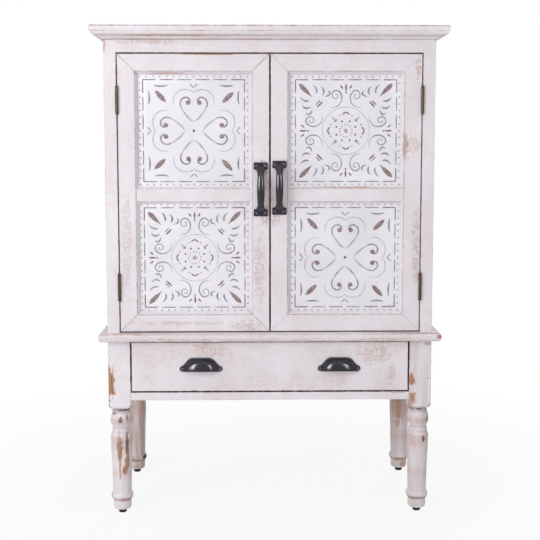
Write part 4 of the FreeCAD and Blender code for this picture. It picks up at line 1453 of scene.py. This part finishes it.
@dataclass
class PressedPanel(Part):
    """A pressed metal tile: a thin sheet with a raised ornament, in millimetres from its centre."""

    finish: Finish = RubbedTin()
    smooth: float = 40.0
    ornament: Ornament = Ornament.HEARTS
    centre: tuple[float, float] = (0.0, 0.0)
    relief: Piece | None = None
    line_rise: float = 1.3
    line_gain: float = 1.45
    line_most: float = 2.6
    back_cut: float = 0.1
    curve_steps: int = 5
    dot_facets: tuple[int, int] = (10, 6)
    heart_dot: float = 3.6
    eye_dot: float = 2.6
    eye: tuple[float, float] = (4.4, 0.6)
    ring: tuple[float, float] = (54.6, 0.75)
    dot_row: float = 124.0
    dot_radius: float = 1.7
    dots_a_side: int = 16
    dash_row: float = 117.0
    dash_length: float = 30.0
    dash_gap: float = 9.0
    dash_width: float = 1.9
    dash_end: float = 0.7
    dashes: int = 4
    field_border: float = 4.0
    field_step: Steps = ((1.2, 0.5), (1.2, 0.0))

    def raised(self) -> Piece:
        """Models the raised lines round the panel's centre, cut level at the back.

        Returns:
            The relief, to be copied to each panel of this ornament.
        """
        marks = self.border() + (self.hearts() if self.ornament is Ornament.HEARTS else self.rosette())
        relief = Bench.join(f"{self.ornament.value}_relief", marks)
        with Bench.editing(relief):
            Bench.slice(mm(0, self.back_cut, 0), Vector((0, 1, 0)), clear_outer=True, use_fill=False)
        return relief

    def model(self) -> Piece:
        """Models the thin sheet, its field pressed forward, and lays a copy of the relief on it.

        Returns:
            The panel.
        """
        sheet = Bench.block("sheet", self.low, self.high)
        reach = (self.high - self.low) / MM
        margin = min(reach.x, reach.z) / 2 - self.dash_row + self.field_border
        with Bench.editing(sheet):
            Bench.select(sheet, "FACE", Bench.at_front)
            Bench.inset((margin, 0.0), *self.field_step)
        self.tint(sheet, CLEAN)
        move = Matrix.Translation((self.centre[0] * MM, self.low.y, self.centre[1] * MM))
        return Bench.join("panel", [sheet, Bench.copy(self.relief, "relief", move)])

    @staticmethod
    def tint(piece: Piece, tone: Tone) -> None:
        """Writes how a piece of relief is rubbed."""
        for layer, value in zip(Bench.layers(piece, "rub", "brown"), tone.value):
            layer.data.foreach_set("value", [value] * len(piece.data.vertices))

    def mark(self, tone: Tone, *points: Triple) -> Piece:
        """Models one raised mark: a line through its points, or a dot where there is one point.

        Args:
            tone: how the mark is rubbed.
            points: across, up and half width or radius of each point, in millimetres.

        Returns:
            The mark as a mesh round the panel's centre.
        """
        piece = self.line(points) if len(points) > 1 else self.dot(*points[0])
        self.tint(piece, tone)
        return piece

    def marks(self, rows: Iterable[tuple]) -> list[Piece]:
        """Models every mark of a table."""
        return [self.mark(*row) for row in rows]

    def line(self, points: Sequence[Triple]) -> Piece:
        """Draws a curve through points in the panel's plane and gives it a low round section.

        Args:
            points: across, up and half width of each point, in millimetres.

        Returns:
            The line as a mesh.
        """
        Bench.clear()
        bpy.ops.curve.primitive_bezier_curve_add(radius=MM)
        line = bpy.context.active_object
        spline = line.data.splines[0]
        spline.bezier_points.add(len(points) - 2)
        for knot, (across, up, half) in zip(spline.bezier_points, points):
            knot.co = mm(across, 0, up)
            knot.radius = min(half * self.line_gain, max(half, self.line_most))
            knot.handle_left_type = knot.handle_right_type = "AUTO"
        line.data.resolution_u = self.curve_steps
        line.data.bevel_depth = MM
        line.data.bevel_resolution = 1
        line.data.use_fill_caps = True
        Bench.take(line)
        bpy.ops.object.convert(target="MESH")
        line = bpy.context.active_object
        widest = max(half for _, _, half in points)
        line.data.transform(Matrix.Scale(self.line_rise / max(widest, self.line_rise), 4, (0, 1, 0)))
        return line

    def dot(self, across: float, up: float, radius: float) -> Piece:
        """Models one raised dot.

        Args:
            across: how far to the right of the centre it is.
            up: how far above the centre.
            radius: its radius.

        Returns:
            The dot as a flattened ball.
        """
        Bench.clear()
        around, up_down = self.dot_facets
        bpy.ops.mesh.primitive_uv_sphere_add(segments=around, ring_count=up_down, radius=radius * MM)
        bpy.ops.transform.resize(value=(1, min(1.0, self.line_rise / radius), 1))
        bead = Bench.started("dot")
        bead.data.transform(Matrix.Translation(mm(across, 0, up)))
        return bead

    @staticmethod
    def around(pieces: Sequence[Piece], turns: int = 4) -> list[Piece]:
        """Copies pieces round the panel's centre.

        Args:
            pieces: the pieces of one part of the turn.
            turns: how many parts the turn has.

        Returns:
            The pieces and their copies.
        """
        every = list(pieces)
        for turn in range(1, turns):
            spin = Matrix.Rotation(turn * math.tau / turns, 4, "Y")
            every += [Bench.copy(piece, piece.name, spin) for piece in pieces]
        return every

    @staticmethod
    def mirrored(pieces: Sequence[Piece], across: Triple = (1, 0, 0)) -> list[Piece]:
        """Copies pieces to the other side of a line through the centre, the first ones kept."""
        flip = Matrix.Scale(-1, 4, Vector(across).normalized())
        return list(pieces) + [Bench.copy(piece, piece.name, flip) for piece in pieces]

    @staticmethod
    def arc(radius: float, half: float, angles: range) -> list[Triple]:
        """Points of a line on a circle round the centre, at angles in degrees from the top."""
        turns = [math.radians(angle) for angle in angles]
        return [(radius * math.sin(turn), radius * math.cos(turn), half) for turn in turns]

    def border(self) -> list[Piece]:
        """Models the dashed line and the row of dots outside it.

        Returns:
            The marks of all four sides.
        """
        row, corner, half = self.dash_row, self.dash_length, self.dash_width / 2
        end = half * self.dash_end
        side = [
            self.mark(MIXED, (-row, row - corner, half), (-row, row - corner / 2, half), (-row, row, half)),
            self.mark(MIXED, (-row, row, half), (corner / 2 - row, row, half), (corner - row, row, half)),
        ]
        pitch = (2 * (row - corner) - self.dash_gap) / self.dashes
        dash = pitch - self.dash_gap
        for step in range(self.dashes):
            start = corner - row + self.dash_gap + step * pitch
            points = ((start, row, end), (start + dash / 2, row, half), (start + dash, row, end))
            side.append(self.mark(GREY if step % 2 else MIXED, *points))
        for step in range(self.dots_a_side):
            across = self.dot_row * (2 * step / self.dots_a_side - 1)
            side.append(self.mark(GREY if step % 3 else MIXED, (across, self.dot_row, self.dot_radius)))
        return self.around(side)

    def hearts(self) -> list[Piece]:
        """Four hearts with curled lobes, their outlines, corner leaves, crescents and chevrons."""
        quarter = self.mirrored(self.marks(HEART_HALF)) + self.marks(HEART_LEAF)
        return self.around(quarter) + [self.mark(BROWN, (0, 0, self.heart_dot))]

    def rosette(self) -> list[Piece]:
        """Models a ringed rosette, with a teardrop, leaves and two scrolls in each corner.

        Returns:
            The marks of the whole ornament inside the border.
        """
        quarter = self.mirrored(self.marks(SCROLL_HALF), (1, 0, -1)) + self.marks(CORNER_DROP)
        quarter += self.mirrored(self.marks(DAGGER_LEAF)) + self.marks(STAR)
        quarter.append(self.mark(FAINT, *self.arc(*self.ring, range(-45, 54, 9))))
        eye = self.mark(MIXED, *self.arc(*self.eye, range(0, 361, 30)))
        return [*self.around(quarter), self.mark(BROWN, (0, 0, self.eye_dot)), eye]


@dataclass
class DoorPull(Part):
    """A cast door pull: two screwed feet and a smooth grip that swells in the middle."""

    finish: Finish = BLACK_IRON
    smooth: float = 40.0
    plate: float = 3.4
    plate_corner: float = 2.4
    plate_steps: Steps = ((0.9, 0.4), (1.0, 0.0), (0.8, -0.8))
    plate_rub_and_glint: float = 0.22
    bar_rub_and_glint: float = 0.75
    rub_and_glint_depth: float = 0.3
    foot_height: float = 17.0
    bar_half: Triple = (4.2, 1.3, 0.7)
    bar_round: float = 0.4
    bar_across: float = 10.0
    bar_height: float = 0.45
    bar_lean: float = 40.0
    grip_half: float = 9.2
    neck_half: float = 7.5
    flare_half: float = 12.5
    facets: int = 12

    def model(self) -> Piece:
        """Joins the two feet and the grip."""
        return Bench.join("pull", [self.foot(-1), self.foot(1), self.grip()])

    def foot(self, side: int) -> Piece:
        """Models one foot plate, with a raised border and two slanting bars that run to the neck.

        Args:
            side: 1 for the upper foot and -1 for the lower one.

        Returns:
            The foot.
        """
        low, high, middle = self.low, self.high, self.middle
        inner = self.foot_height * MM
        face = high.y - self.plate * MM
        near, far = (high.z - inner, high.z) if side > 0 else (low.z, low.z + inner)
        plate = Bench.block("foot", Vector((low.x, face, near)), Vector((high.x, high.y, far)))
        with Bench.editing(plate):
            Bench.select(plate, "EDGE", lambda edge: abs(edge.verts[0].co.y - edge.verts[1].co.y) > MM)
            bpy.ops.mesh.bevel(offset=self.plate_corner * MM, segments=4, affect="EDGES")
            Bench.select(plate, "FACE", Bench.at_front)
            Bench.inset(*self.plate_steps)
        # painted highlight, with rubbed iron, on the plate's raised border
        Bench.polish(plate, self.plate_rub_and_glint, face - self.rub_and_glint_depth * MM)
        bars = []
        away = Matrix.Translation(Vector((0, 0, side * (high.z - middle.z - self.bar_height * inner))))
        for hand in (-1, 1):
            outer = Vector((middle.x + hand * self.bar_across * MM, face, middle.z))
            bar = Bench.block("bar", outer - mm(*self.bar_half), outer + mm(*self.bar_half))
            with Bench.editing(bar):
                bpy.ops.mesh.select_all(action="SELECT")
                bpy.ops.mesh.bevel(offset=self.bar_round * MM, segments=2, affect="EDGES")
            lean = Matrix.Rotation(hand * side * math.radians(self.bar_lean), 4, "Y")
            bar.data.transform(away @ Matrix.Translation(outer) @ lean @ Matrix.Translation(-outer))
            # the bars coloured light: rubbed iron and painted glints
            Bench.polish(bar, self.bar_rub_and_glint)
            bars.append(bar)
        return Bench.join("foot", [plate, *bars])

    def stations(self) -> list[tuple[float, float, float, float]]:
        """The grip's sections from the middle to one end, in millimetres.

        Returns:
            For each section its distance from the middle, half width, and its front and back
            distance from the wood.
        """
        size = (self.high - self.low) / MM
        reach, foot = size.y, size.z / 2 - self.foot_height
        grip, neck, flare = self.grip_half, self.neck_half, self.flare_half
        return [
            (0.0, grip, reach + 0.3, reach - 10.2),
            (13.0, grip - 0.2, reach - 0.5, reach - 10.8),
            (24.0, grip - 0.9, reach - 2.0, reach - 11.6),
            (31.0, neck + 0.2, reach - 4.2, reach - 13.4),
            (36.0, neck, reach - 7.0, reach - 16.6),
            (40.5, neck + 1.2, reach - 10.8, reach - 21.4),
            (44.5, neck + 3.4, reach - 15.6, reach - 26.0),
            (48.0, flare - 0.4, reach - 20.6, 1.6),
            (foot + 6.5, flare, reach - 25.0, 1.0),
            (foot + 9.5, flare - 1.2, reach - 27.4, 1.0),
        ]

    def grip(self) -> Piece:
        """Raises a rounded section from one foot to the other.

        Returns:
            The grip.
        """
        middle, ladder = self.middle, self.stations()
        climb = [(-s[0], *s[1:]) for s in reversed(ladder)] + ladder[1:]
        Bench.clear()
        turn = (0, 0, math.pi / self.facets)
        bpy.ops.mesh.primitive_circle_add(vertices=self.facets, radius=MM, fill_type="NGON", rotation=turn)
        grip = Bench.started("grip")
        with Bench.editing(grip):
            bpy.ops.mesh.select_mode(type="FACE")
            bpy.ops.mesh.select_all(action="SELECT")
            centre = Vector((0, 0, 0))
            wide, deep = 1.0, 1.0
            for step, (along, half, front, back) in enumerate(climb):
                there = Vector((middle.x, self.high.y - (front + back) / 2 * MM, middle.z + along * MM))
                if step == 0:
                    bpy.ops.transform.translate(value=there - centre)
                else:
                    bpy.ops.mesh.extrude_region_move(TRANSFORM_OT_translate={"value": there - centre})
                thick = (front - back) / 2
                bpy.ops.transform.resize(value=(half / wide, thick / deep, 1), center_override=there)
                centre, wide, deep = there, half, thick
            Bench.outward()
        Bench.modify(grip, "SUBSURF", levels=2, render_levels=2)
        return grip


@dataclass
class CupPull(Part):
    """A cast cup pull: a hooded cup on a flat rim with an ear at each end."""

    finish: Finish = BLACK_IRON
    smooth: float = 35.0
    rim: float = 2.2
    rim_steps: Steps = ((0.7, 0.5), (1.6, 0.0), (0.7, -0.5))
    rim_rub_and_glint: float = 0.3
    rub_and_glint_depth: float = 0.3
    shell: float = 1.9
    dome_half: float = 40.5
    dome_top: float = 29.6
    dome_square: float = 2.5
    dome_facets: tuple[int, int] = (40, 20)
    ear_height: float = 7.2
    lip_rise: float = 5.0

    def model(self) -> Piece:
        """Joins the rim and the hood."""
        foot = Vector((self.middle.x, self.high.y, self.low.z))
        return Bench.join("pull", [self.plate(foot), self.hood(foot)])

    def plate(self, foot: Vector) -> Piece:
        """Models the flat rim from its outline, with a raised border.

        Args:
            foot: the middle of its lower edge, on the wood.

        Returns:
            The rim.
        """
        size = (self.high - self.low) / MM
        height, half = size.z, size.x / 2
        ear = ((half - 1.6, 2.6), (half, self.ear_height), (half - 2.2, 12.6))
        brow = ((42, 16.2), (37.5, 20.6), (32.5, 27.4), (26.5, 32.2), (20, height), (0, height))
        right = [(0, 0), (34, 0), (43.9, 0), *ear, *brow]
        every = right + [(-x, z) for x, z in reversed(right[1:-1])]
        Bench.clear()
        turn = (math.pi / 2, 0, 0)
        bpy.ops.mesh.primitive_circle_add(vertices=len(every), radius=MM, fill_type="NGON", rotation=turn)
        plate = Bench.started("rim")
        for vert, (across, up) in zip(plate.data.vertices, every):
            vert.co = foot + mm(across, 0, up)
        with Bench.editing(plate):
            bpy.ops.mesh.select_all(action="SELECT")
            bpy.ops.mesh.extrude_region_move(TRANSFORM_OT_translate={"value": (0, -self.rim * MM, 0)})
            Bench.outward()
            Bench.select(plate, "FACE", Bench.at_front)
            Bench.inset(*self.rim_steps)
        # painted highlight, with rubbed iron, on the rim's raised border
        Bench.polish(plate, self.rim_rub_and_glint, foot.y - (self.rim + self.rub_and_glint_depth) * MM)
        return plate

    def hood(self, foot: Vector) -> Piece:
        """Models the hollow cup: a rounded quarter shell with square shoulders, open below.

        Args:
            foot: the middle of the rim's lower edge, on the wood.

        Returns:
            The cup.
        """
        reach = (self.high.y - self.low.y) / MM
        Bench.clear()
        turn = (0, math.pi / 2, 0)
        around, along = self.dome_facets
        bpy.ops.mesh.primitive_uv_sphere_add(segments=around, ring_count=along, radius=1, rotation=turn)
        hood = Bench.started("hood")
        for vert in hood.data.vertices:
            vert.co /= sum(abs(part) ** self.dome_square for part in vert.co) ** (1 / self.dome_square)
        size = Matrix.Diagonal((self.dome_half * MM, reach * MM, self.dome_top * MM, 1))
        hood.data.transform(Matrix.Translation(foot) @ size)
        with Bench.editing(hood):
            for normal in (Vector((0, 1, 0)), Vector((0, -self.lip_rise / reach, -1)).normalized()):
                Bench.slice(foot, normal, clear_outer=True)
        Bench.modify(hood, "SOLIDIFY", thickness=self.shell * MM, offset=-1.0)
        with Bench.editing(hood):
            Bench.outward()
        return hood


@dataclass
class Screws(Part):
    """A set of like screws with domed heads, turned to the size of their CAD solids."""

    smooth: float = 50.0
    segments: int = 24
    polish: float = 0.4
    end_slice: float = 0.2
    head_share: float = 0.8
    dome: tuple[float, ...] = (0.3, 0.6, 0.85)

    def model(self) -> Piece:
        """Models one screw, copies it to the place of each solid of the node and joins the set.

        Returns:
            The set.
        """
        piece = Bench.copy_node(self.node)
        solids = self.islands(piece)
        bpy.data.objects.remove(piece)
        corners = [self.corner(points, min) for points in solids]
        first = self.screw(solids[0])
        rest = [Bench.copy(first, "screw", Matrix.Translation(low - corners[0])) for low in corners[1:]]
        whole = Bench.join("screws", [first, *rest])
        # the screw heads coloured light: rubbed iron and painted glints
        Bench.polish(whole, self.polish)
        return whole

    @staticmethod
    def corner(points: Sequence[Vector], pick: Callable) -> Vector:
        """The lowest or highest corner of the box round some places, as pick is min or max."""
        return Vector([pick(values) for values in zip(*points)])

    @staticmethod
    def islands(piece: Piece) -> list[list[Vector]]:
        """Finds the separate solids in a piece.

        Args:
            piece: a piece of one or more solids.

        Returns:
            The places of each solid's vertices.
        """
        sketch = bmesh.new()
        sketch.from_mesh(piece.data)
        left = set(sketch.verts)
        found = []
        while left:
            queue = [left.pop()]
            solid = []
            while queue:
                vert = queue.pop()
                solid.append(vert.co.copy())
                near = {edge.other_vert(vert) for edge in vert.link_edges} & left
                left -= near
                queue += near
            found.append(solid)
        sketch.free()
        return found

    def screw(self, points: Sequence[Vector]) -> Piece:
        """Turns one screw, its head toward the front, over the same room as its CAD solid.

        Args:
            points: the places of the CAD solid's vertices.

        Returns:
            The screw.
        """
        low, high = self.corner(points, min), self.corner(points, max)
        middle = (low + high) / 2
        long = (high.y - low.y) / MM
        head = (high.x - low.x) / 2 / MM
        spread = {p.freeze(): math.hypot(p.x - middle.x, p.z - middle.z) / MM for p in points}
        shank = max(far for p, far in spread.items() if p.y > high.y - self.end_slice * MM)
        seat = (high.y - max(p.y for p, far in spread.items() if far > self.head_share * head)) / MM
        rise = long - seat
        outline = [(0.0, 0.0), (shank, 0.0), (shank, seat), (head, seat)]
        outline += [(head * math.sqrt(1 - share * share), seat + rise * share) for share in self.dome]
        made = Bench.turned("screw", [*outline, (0.0, long)], self.segments)
        lay = Matrix.Rotation(math.pi / 2, 4, "X")
        made.data.transform(Matrix.Translation((middle.x, high.y, middle.z)) @ lay)
        return made


@dataclass
class Fitting(Part):
    """Small hardware that keeps its CAD form, merged and shaded smooth where it is round."""

    smooth: float = 32.0

    def model(self) -> Piece:
        """Copies the CAD solids."""
        return Bench.copy_node(self.node)


@dataclass
class Cabinet:
    """The whole cabinet: its boards, legs, panels and hardware, each in its node's place."""

    mitres: tuple[tuple[str, float], ...] = (("left", 0.5), ("right", 0.2))
    leg_rub: float = 0.8
    panel_across: float = 175.75
    panel_heights: tuple[tuple[str, float], ...] = (("upper", 912.5), ("lower", 617.5))
    made: list[Piece] = field(default_factory=list)

    def boards(self) -> None:
        """Dresses the wooden members."""
        finishes = {
            UPRIGHT_WOOD: ("case_side_left", "case_side_right"),
            STILE_WOOD: ("face_stile_left", "face_stile_right"),
            ACROSS_WOOD: (
                "face_top_rail", "door_stop_batten", "back_apron", "front_bottom_rail", "shelf",
                "case_bottom",
            ),
            CROWN_WOOD: ("top_board", "cornice", "waist_board"),
            DEEP_WOOD: ("side_apron_left", "side_apron_right"),
            DRAWER_WOOD: ("drawer_front",),
            PINE: ("drawer_side_left", "drawer_side_right", "drawer_back"),
            PLYWOOD: ("drawer_bottom",),
            BACK_PLY: ("case_back",),
            HARDBOARD: ("door_left_backboard", "door_right_backboard"),
        }
        rail_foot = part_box("face_top_rail")[0].z / MM
        for finish, nodes in finishes.items():
            splits = (rail_foot,) if finish is STILE_WOOD else ()
            self.made += [Board(node, finish, splits=splits).make() for node in nodes]
        for hand, mitre in self.mitres:
            for member, finish, seam in (
                ("hinge_stile", UPRIGHT_WOOD, mitre),
                ("meeting_stile", UPRIGHT_WOOD, mitre),
                ("top_rail", ACROSS_WOOD, mitre),
                ("bottom_rail", ACROSS_WOOD, mitre),
                ("mid_rail", ACROSS_WOOD, 0.0),
            ):
                self.made.append(Board(f"door_{hand}_{member}", finish, seam=seam).make())

    def legs(self) -> None:
        """Dresses the four legs, each with the knocks that it shows."""
        pattern = None
        for node, (age_and_shade, spots) in LEG_WEAR.items():
            name = f"whitewashed mango wood, {node.replace('_', ' ')}"
            wood = WhitewashedWood(name, Grain.UPRIGHT, rub=self.leg_rub, age_and_shade=age_and_shade, spots=spots)
            leg = Leg(node, wood)
            leg.pattern = pattern = pattern or leg.upright()
            self.made.append(leg.make())
        bpy.data.objects.remove(pattern)

    def panels(self) -> None:
        """Dresses the four pressed panels, the two ornaments set crosswise."""
        for ornament, sides in ((Ornament.HEARTS, (-1, 1)), (Ornament.ROSETTE, (1, -1))):
            relief = None
            for (level, height), side in zip(self.panel_heights, sides):
                node = f"door_{'left' if side < 0 else 'right'}_panel_{level}"
                panel = PressedPanel(node, ornament=ornament, centre=(side * self.panel_across, height))
                panel.relief = relief = relief or panel.raised()
                self.made.append(panel.make())
            bpy.data.objects.remove(relief)

    def hardware(self) -> None:
        """Dresses the pulls, hinges, slides and small fittings."""
        for maker, left, right in (
            (DoorPull, "door_left_pull", "door_right_pull"),
            (CupPull, "cup_pull_left", "cup_pull_right"),
        ):
            first = maker(left).make()
            self.made += [first, Bench.repeat(first, left, right)]
        parts = []
        for hand in ("left", "right"):
            parts += [
                Screws(f"door_{hand}_pull_screws", BLACK_IRON),
                Fitting(f"hinge_frame_leaves_{hand}", ANTIQUE_BRASS),
                Fitting(f"door_{hand}_hinge_leaves", ANTIQUE_BRASS),
                Fitting(f"door_{hand}_strike_plate", ZINC_STEEL),
            ]
        parts += [Screws("cup_pull_screws", BLACK_IRON), Fitting("hinge_pins", ANTIQUE_BRASS)]
        for finish, nodes in (
            (ZINC_STEEL, ("drawer_runners", "drawer_slide_rails", "shelf_pins")),
            (BLACK_NYLON, ("magnetic_catches", "foot_glides")),
        ):
            parts += [Fitting(node, finish) for node in nodes]
        self.made += [part.make() for part in parts]

    def build(self) -> None:
        """Makes every piece."""
        for step in (self.boards, self.legs, self.panels, self.hardware):
            step()


@dataclass(frozen=True)
class Studio:
    """A pale floor, a white surround and soft lamps, in metres and watts."""

    floor_colour: str = "f4f3f3"
    floor_size: float = 30.0
    floor_roughness: float = 0.9
    floor_fade: Triple = (0.5, 1.3, 0.87)
    white: float = 1.0
    surround: float = 0.45
    aim: Triple = (0.0, 0.0, 0.6)
    lamps: tuple[tuple[str, Triple, float, float], ...] = (
        ("key", (-2.1, -2.7, 1.6), 1.9, 51.0),
        ("fill", (2.6, -2.8, 1.4), 2.2, 5.0),
        ("overhead", (0.0, -0.6, 3.4), 2.0, 13.0),
        ("rear", (0.8, 3.2, 1.8), 2.2, 20.0),
    )
    strips: tuple[tuple[str, Triple, float, float], ...] = (
        ("strip_left", (-1.15, -1.9, 1.7), 0.42, 56.0),
        ("strip_right", (1.15, -1.9, 1.7), 0.42, 33.6),
    )
    strip_height: float = 1.8
    sensor: float = 36.0
    lens: float = 65.8
    lens_shift: float = -0.05
    far_clip: float = 100.0
    viewpoint: Triple = (-38.24, -2448.45, 875.98)
    tilt: Triple = (90 - 5.575, 0.022, -0.957)

    def floor(self) -> None:
        """A wide floor that keeps the cabinet's shadow and fades into the white surround."""
        Bench.clear()
        bpy.ops.mesh.primitive_plane_add(size=self.floor_size)
        floor = Bench.started("studio_floor")
        paint = bpy.data.materials.new("matt white studio floor")
        paint.use_nodes = True
        tree = paint.node_tree
        surface = tree.nodes["Principled BSDF"]
        surface.inputs["Base Color"].default_value = linear(self.floor_colour)
        surface.inputs["Roughness"].default_value = self.floor_roughness
        far = add(tree, "VectorMath", add(tree, "TexCoord").outputs["Object"], operation="LENGTH")
        fade = add(tree, "MapRange", far, *self.floor_fade)
        seen = add(tree, "LightPath").outputs["Is Camera Ray"]
        amount = add(tree, "Math", fade, seen, operation="MULTIPLY")
        glow = add(tree, "Emission", (1, 1, 1, 1), self.white)
        mixed = add(tree, "MixShader", amount, surface, glow)
        connect(tree, [(tree.nodes["Material Output"].inputs["Surface"], mixed)])
        floor.data.materials.append(paint)
        floor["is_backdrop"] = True

    def world(self) -> None:
        """A white surround for the eye and for gloss, at a lower level for light."""
        sky = bpy.data.worlds.new("white studio surround")
        bpy.context.scene.world = sky
        sky.use_nodes = True
        tree = sky.node_tree
        backdrop = tree.nodes["Background"]
        rays = add(tree, "LightPath").outputs
        seen = add(tree, "Math", rays["Is Camera Ray"], rays["Is Transmission Ray"], operation="MAXIMUM")
        level = add(tree, "MapRange", seen, 0.0, 1.0, self.surround, self.white)
        connect(tree, [(backdrop.inputs["Color"], (1, 1, 1, 1)), (backdrop.inputs["Strength"], level)])

    def lamp(self, name: str, place: Triple, size: float, power: float) -> Piece:
        """Adds a square soft lamp that faces the middle of the cabinet.

        Args:
            name: the lamp's name.
            place: where it stands.
            size: the side of its square.
            power: its power.

        Returns:
            The lamp.
        """
        Bench.clear()
        bpy.ops.object.light_add(type="AREA", location=place)
        lamp = bpy.context.active_object
        lamp.name = name
        lamp.data.size = size
        lamp.data.energy = power
        lamp.rotation_euler = (Vector(self.aim) - Vector(place)).to_track_quat("-Z", "Y").to_euler()
        return lamp

    def light(self) -> None:
        """A key on the left, a weaker fill, one above, one behind, and strips seen only in gloss."""
        for row in self.lamps:
            self.lamp(*row)
        for row in self.strips:
            strip = self.lamp(*row)
            strip.data.shape = "RECTANGLE"
            strip.data.size_y = self.strip_height
            strip.visible_diffuse = False
            strip.visible_camera = False

    def camera(self) -> None:
        """The photograph's viewpoint, solved from 20 points of the cabinet's front."""
        Bench.clear()
        turn = [math.radians(angle) for angle in self.tilt]
        bpy.ops.object.camera_add(location=mm(*self.viewpoint), rotation=turn)
        camera = bpy.context.active_object
        camera.name = "photograph_viewpoint"
        camera.data.sensor_width = self.sensor
        camera.data.lens = self.lens
        camera.data.shift_y = self.lens_shift
        camera.data.clip_end = self.far_clip
        bpy.context.scene.camera = camera

    def build(self) -> None:
        """Sets up the whole studio."""
        for step in (self.floor, self.world, self.light, self.camera):
            step()
        bpy.context.scene.view_settings.view_transform = "Standard"


def write_size() -> None:
    """Works out the CAD box and the finished model's box, rounded; nothing is written."""
    boxes = {"cad": cad_box, "model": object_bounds()}
    plain = {name: [[round(v, 6) for v in corner] for corner in box] for name, box in boxes.items()}


def main() -> None:
    """Builds the studio and the cabinet."""
    logging.basicConfig(level=logging.INFO, format="%(name)s: %(message)s")
    Studio().build()
    cabinet = Cabinet()
    cabinet.build()
    log.info("%d pieces made", len(cabinet.made))
    write_size()


if __name__ == "__main__":
    main()
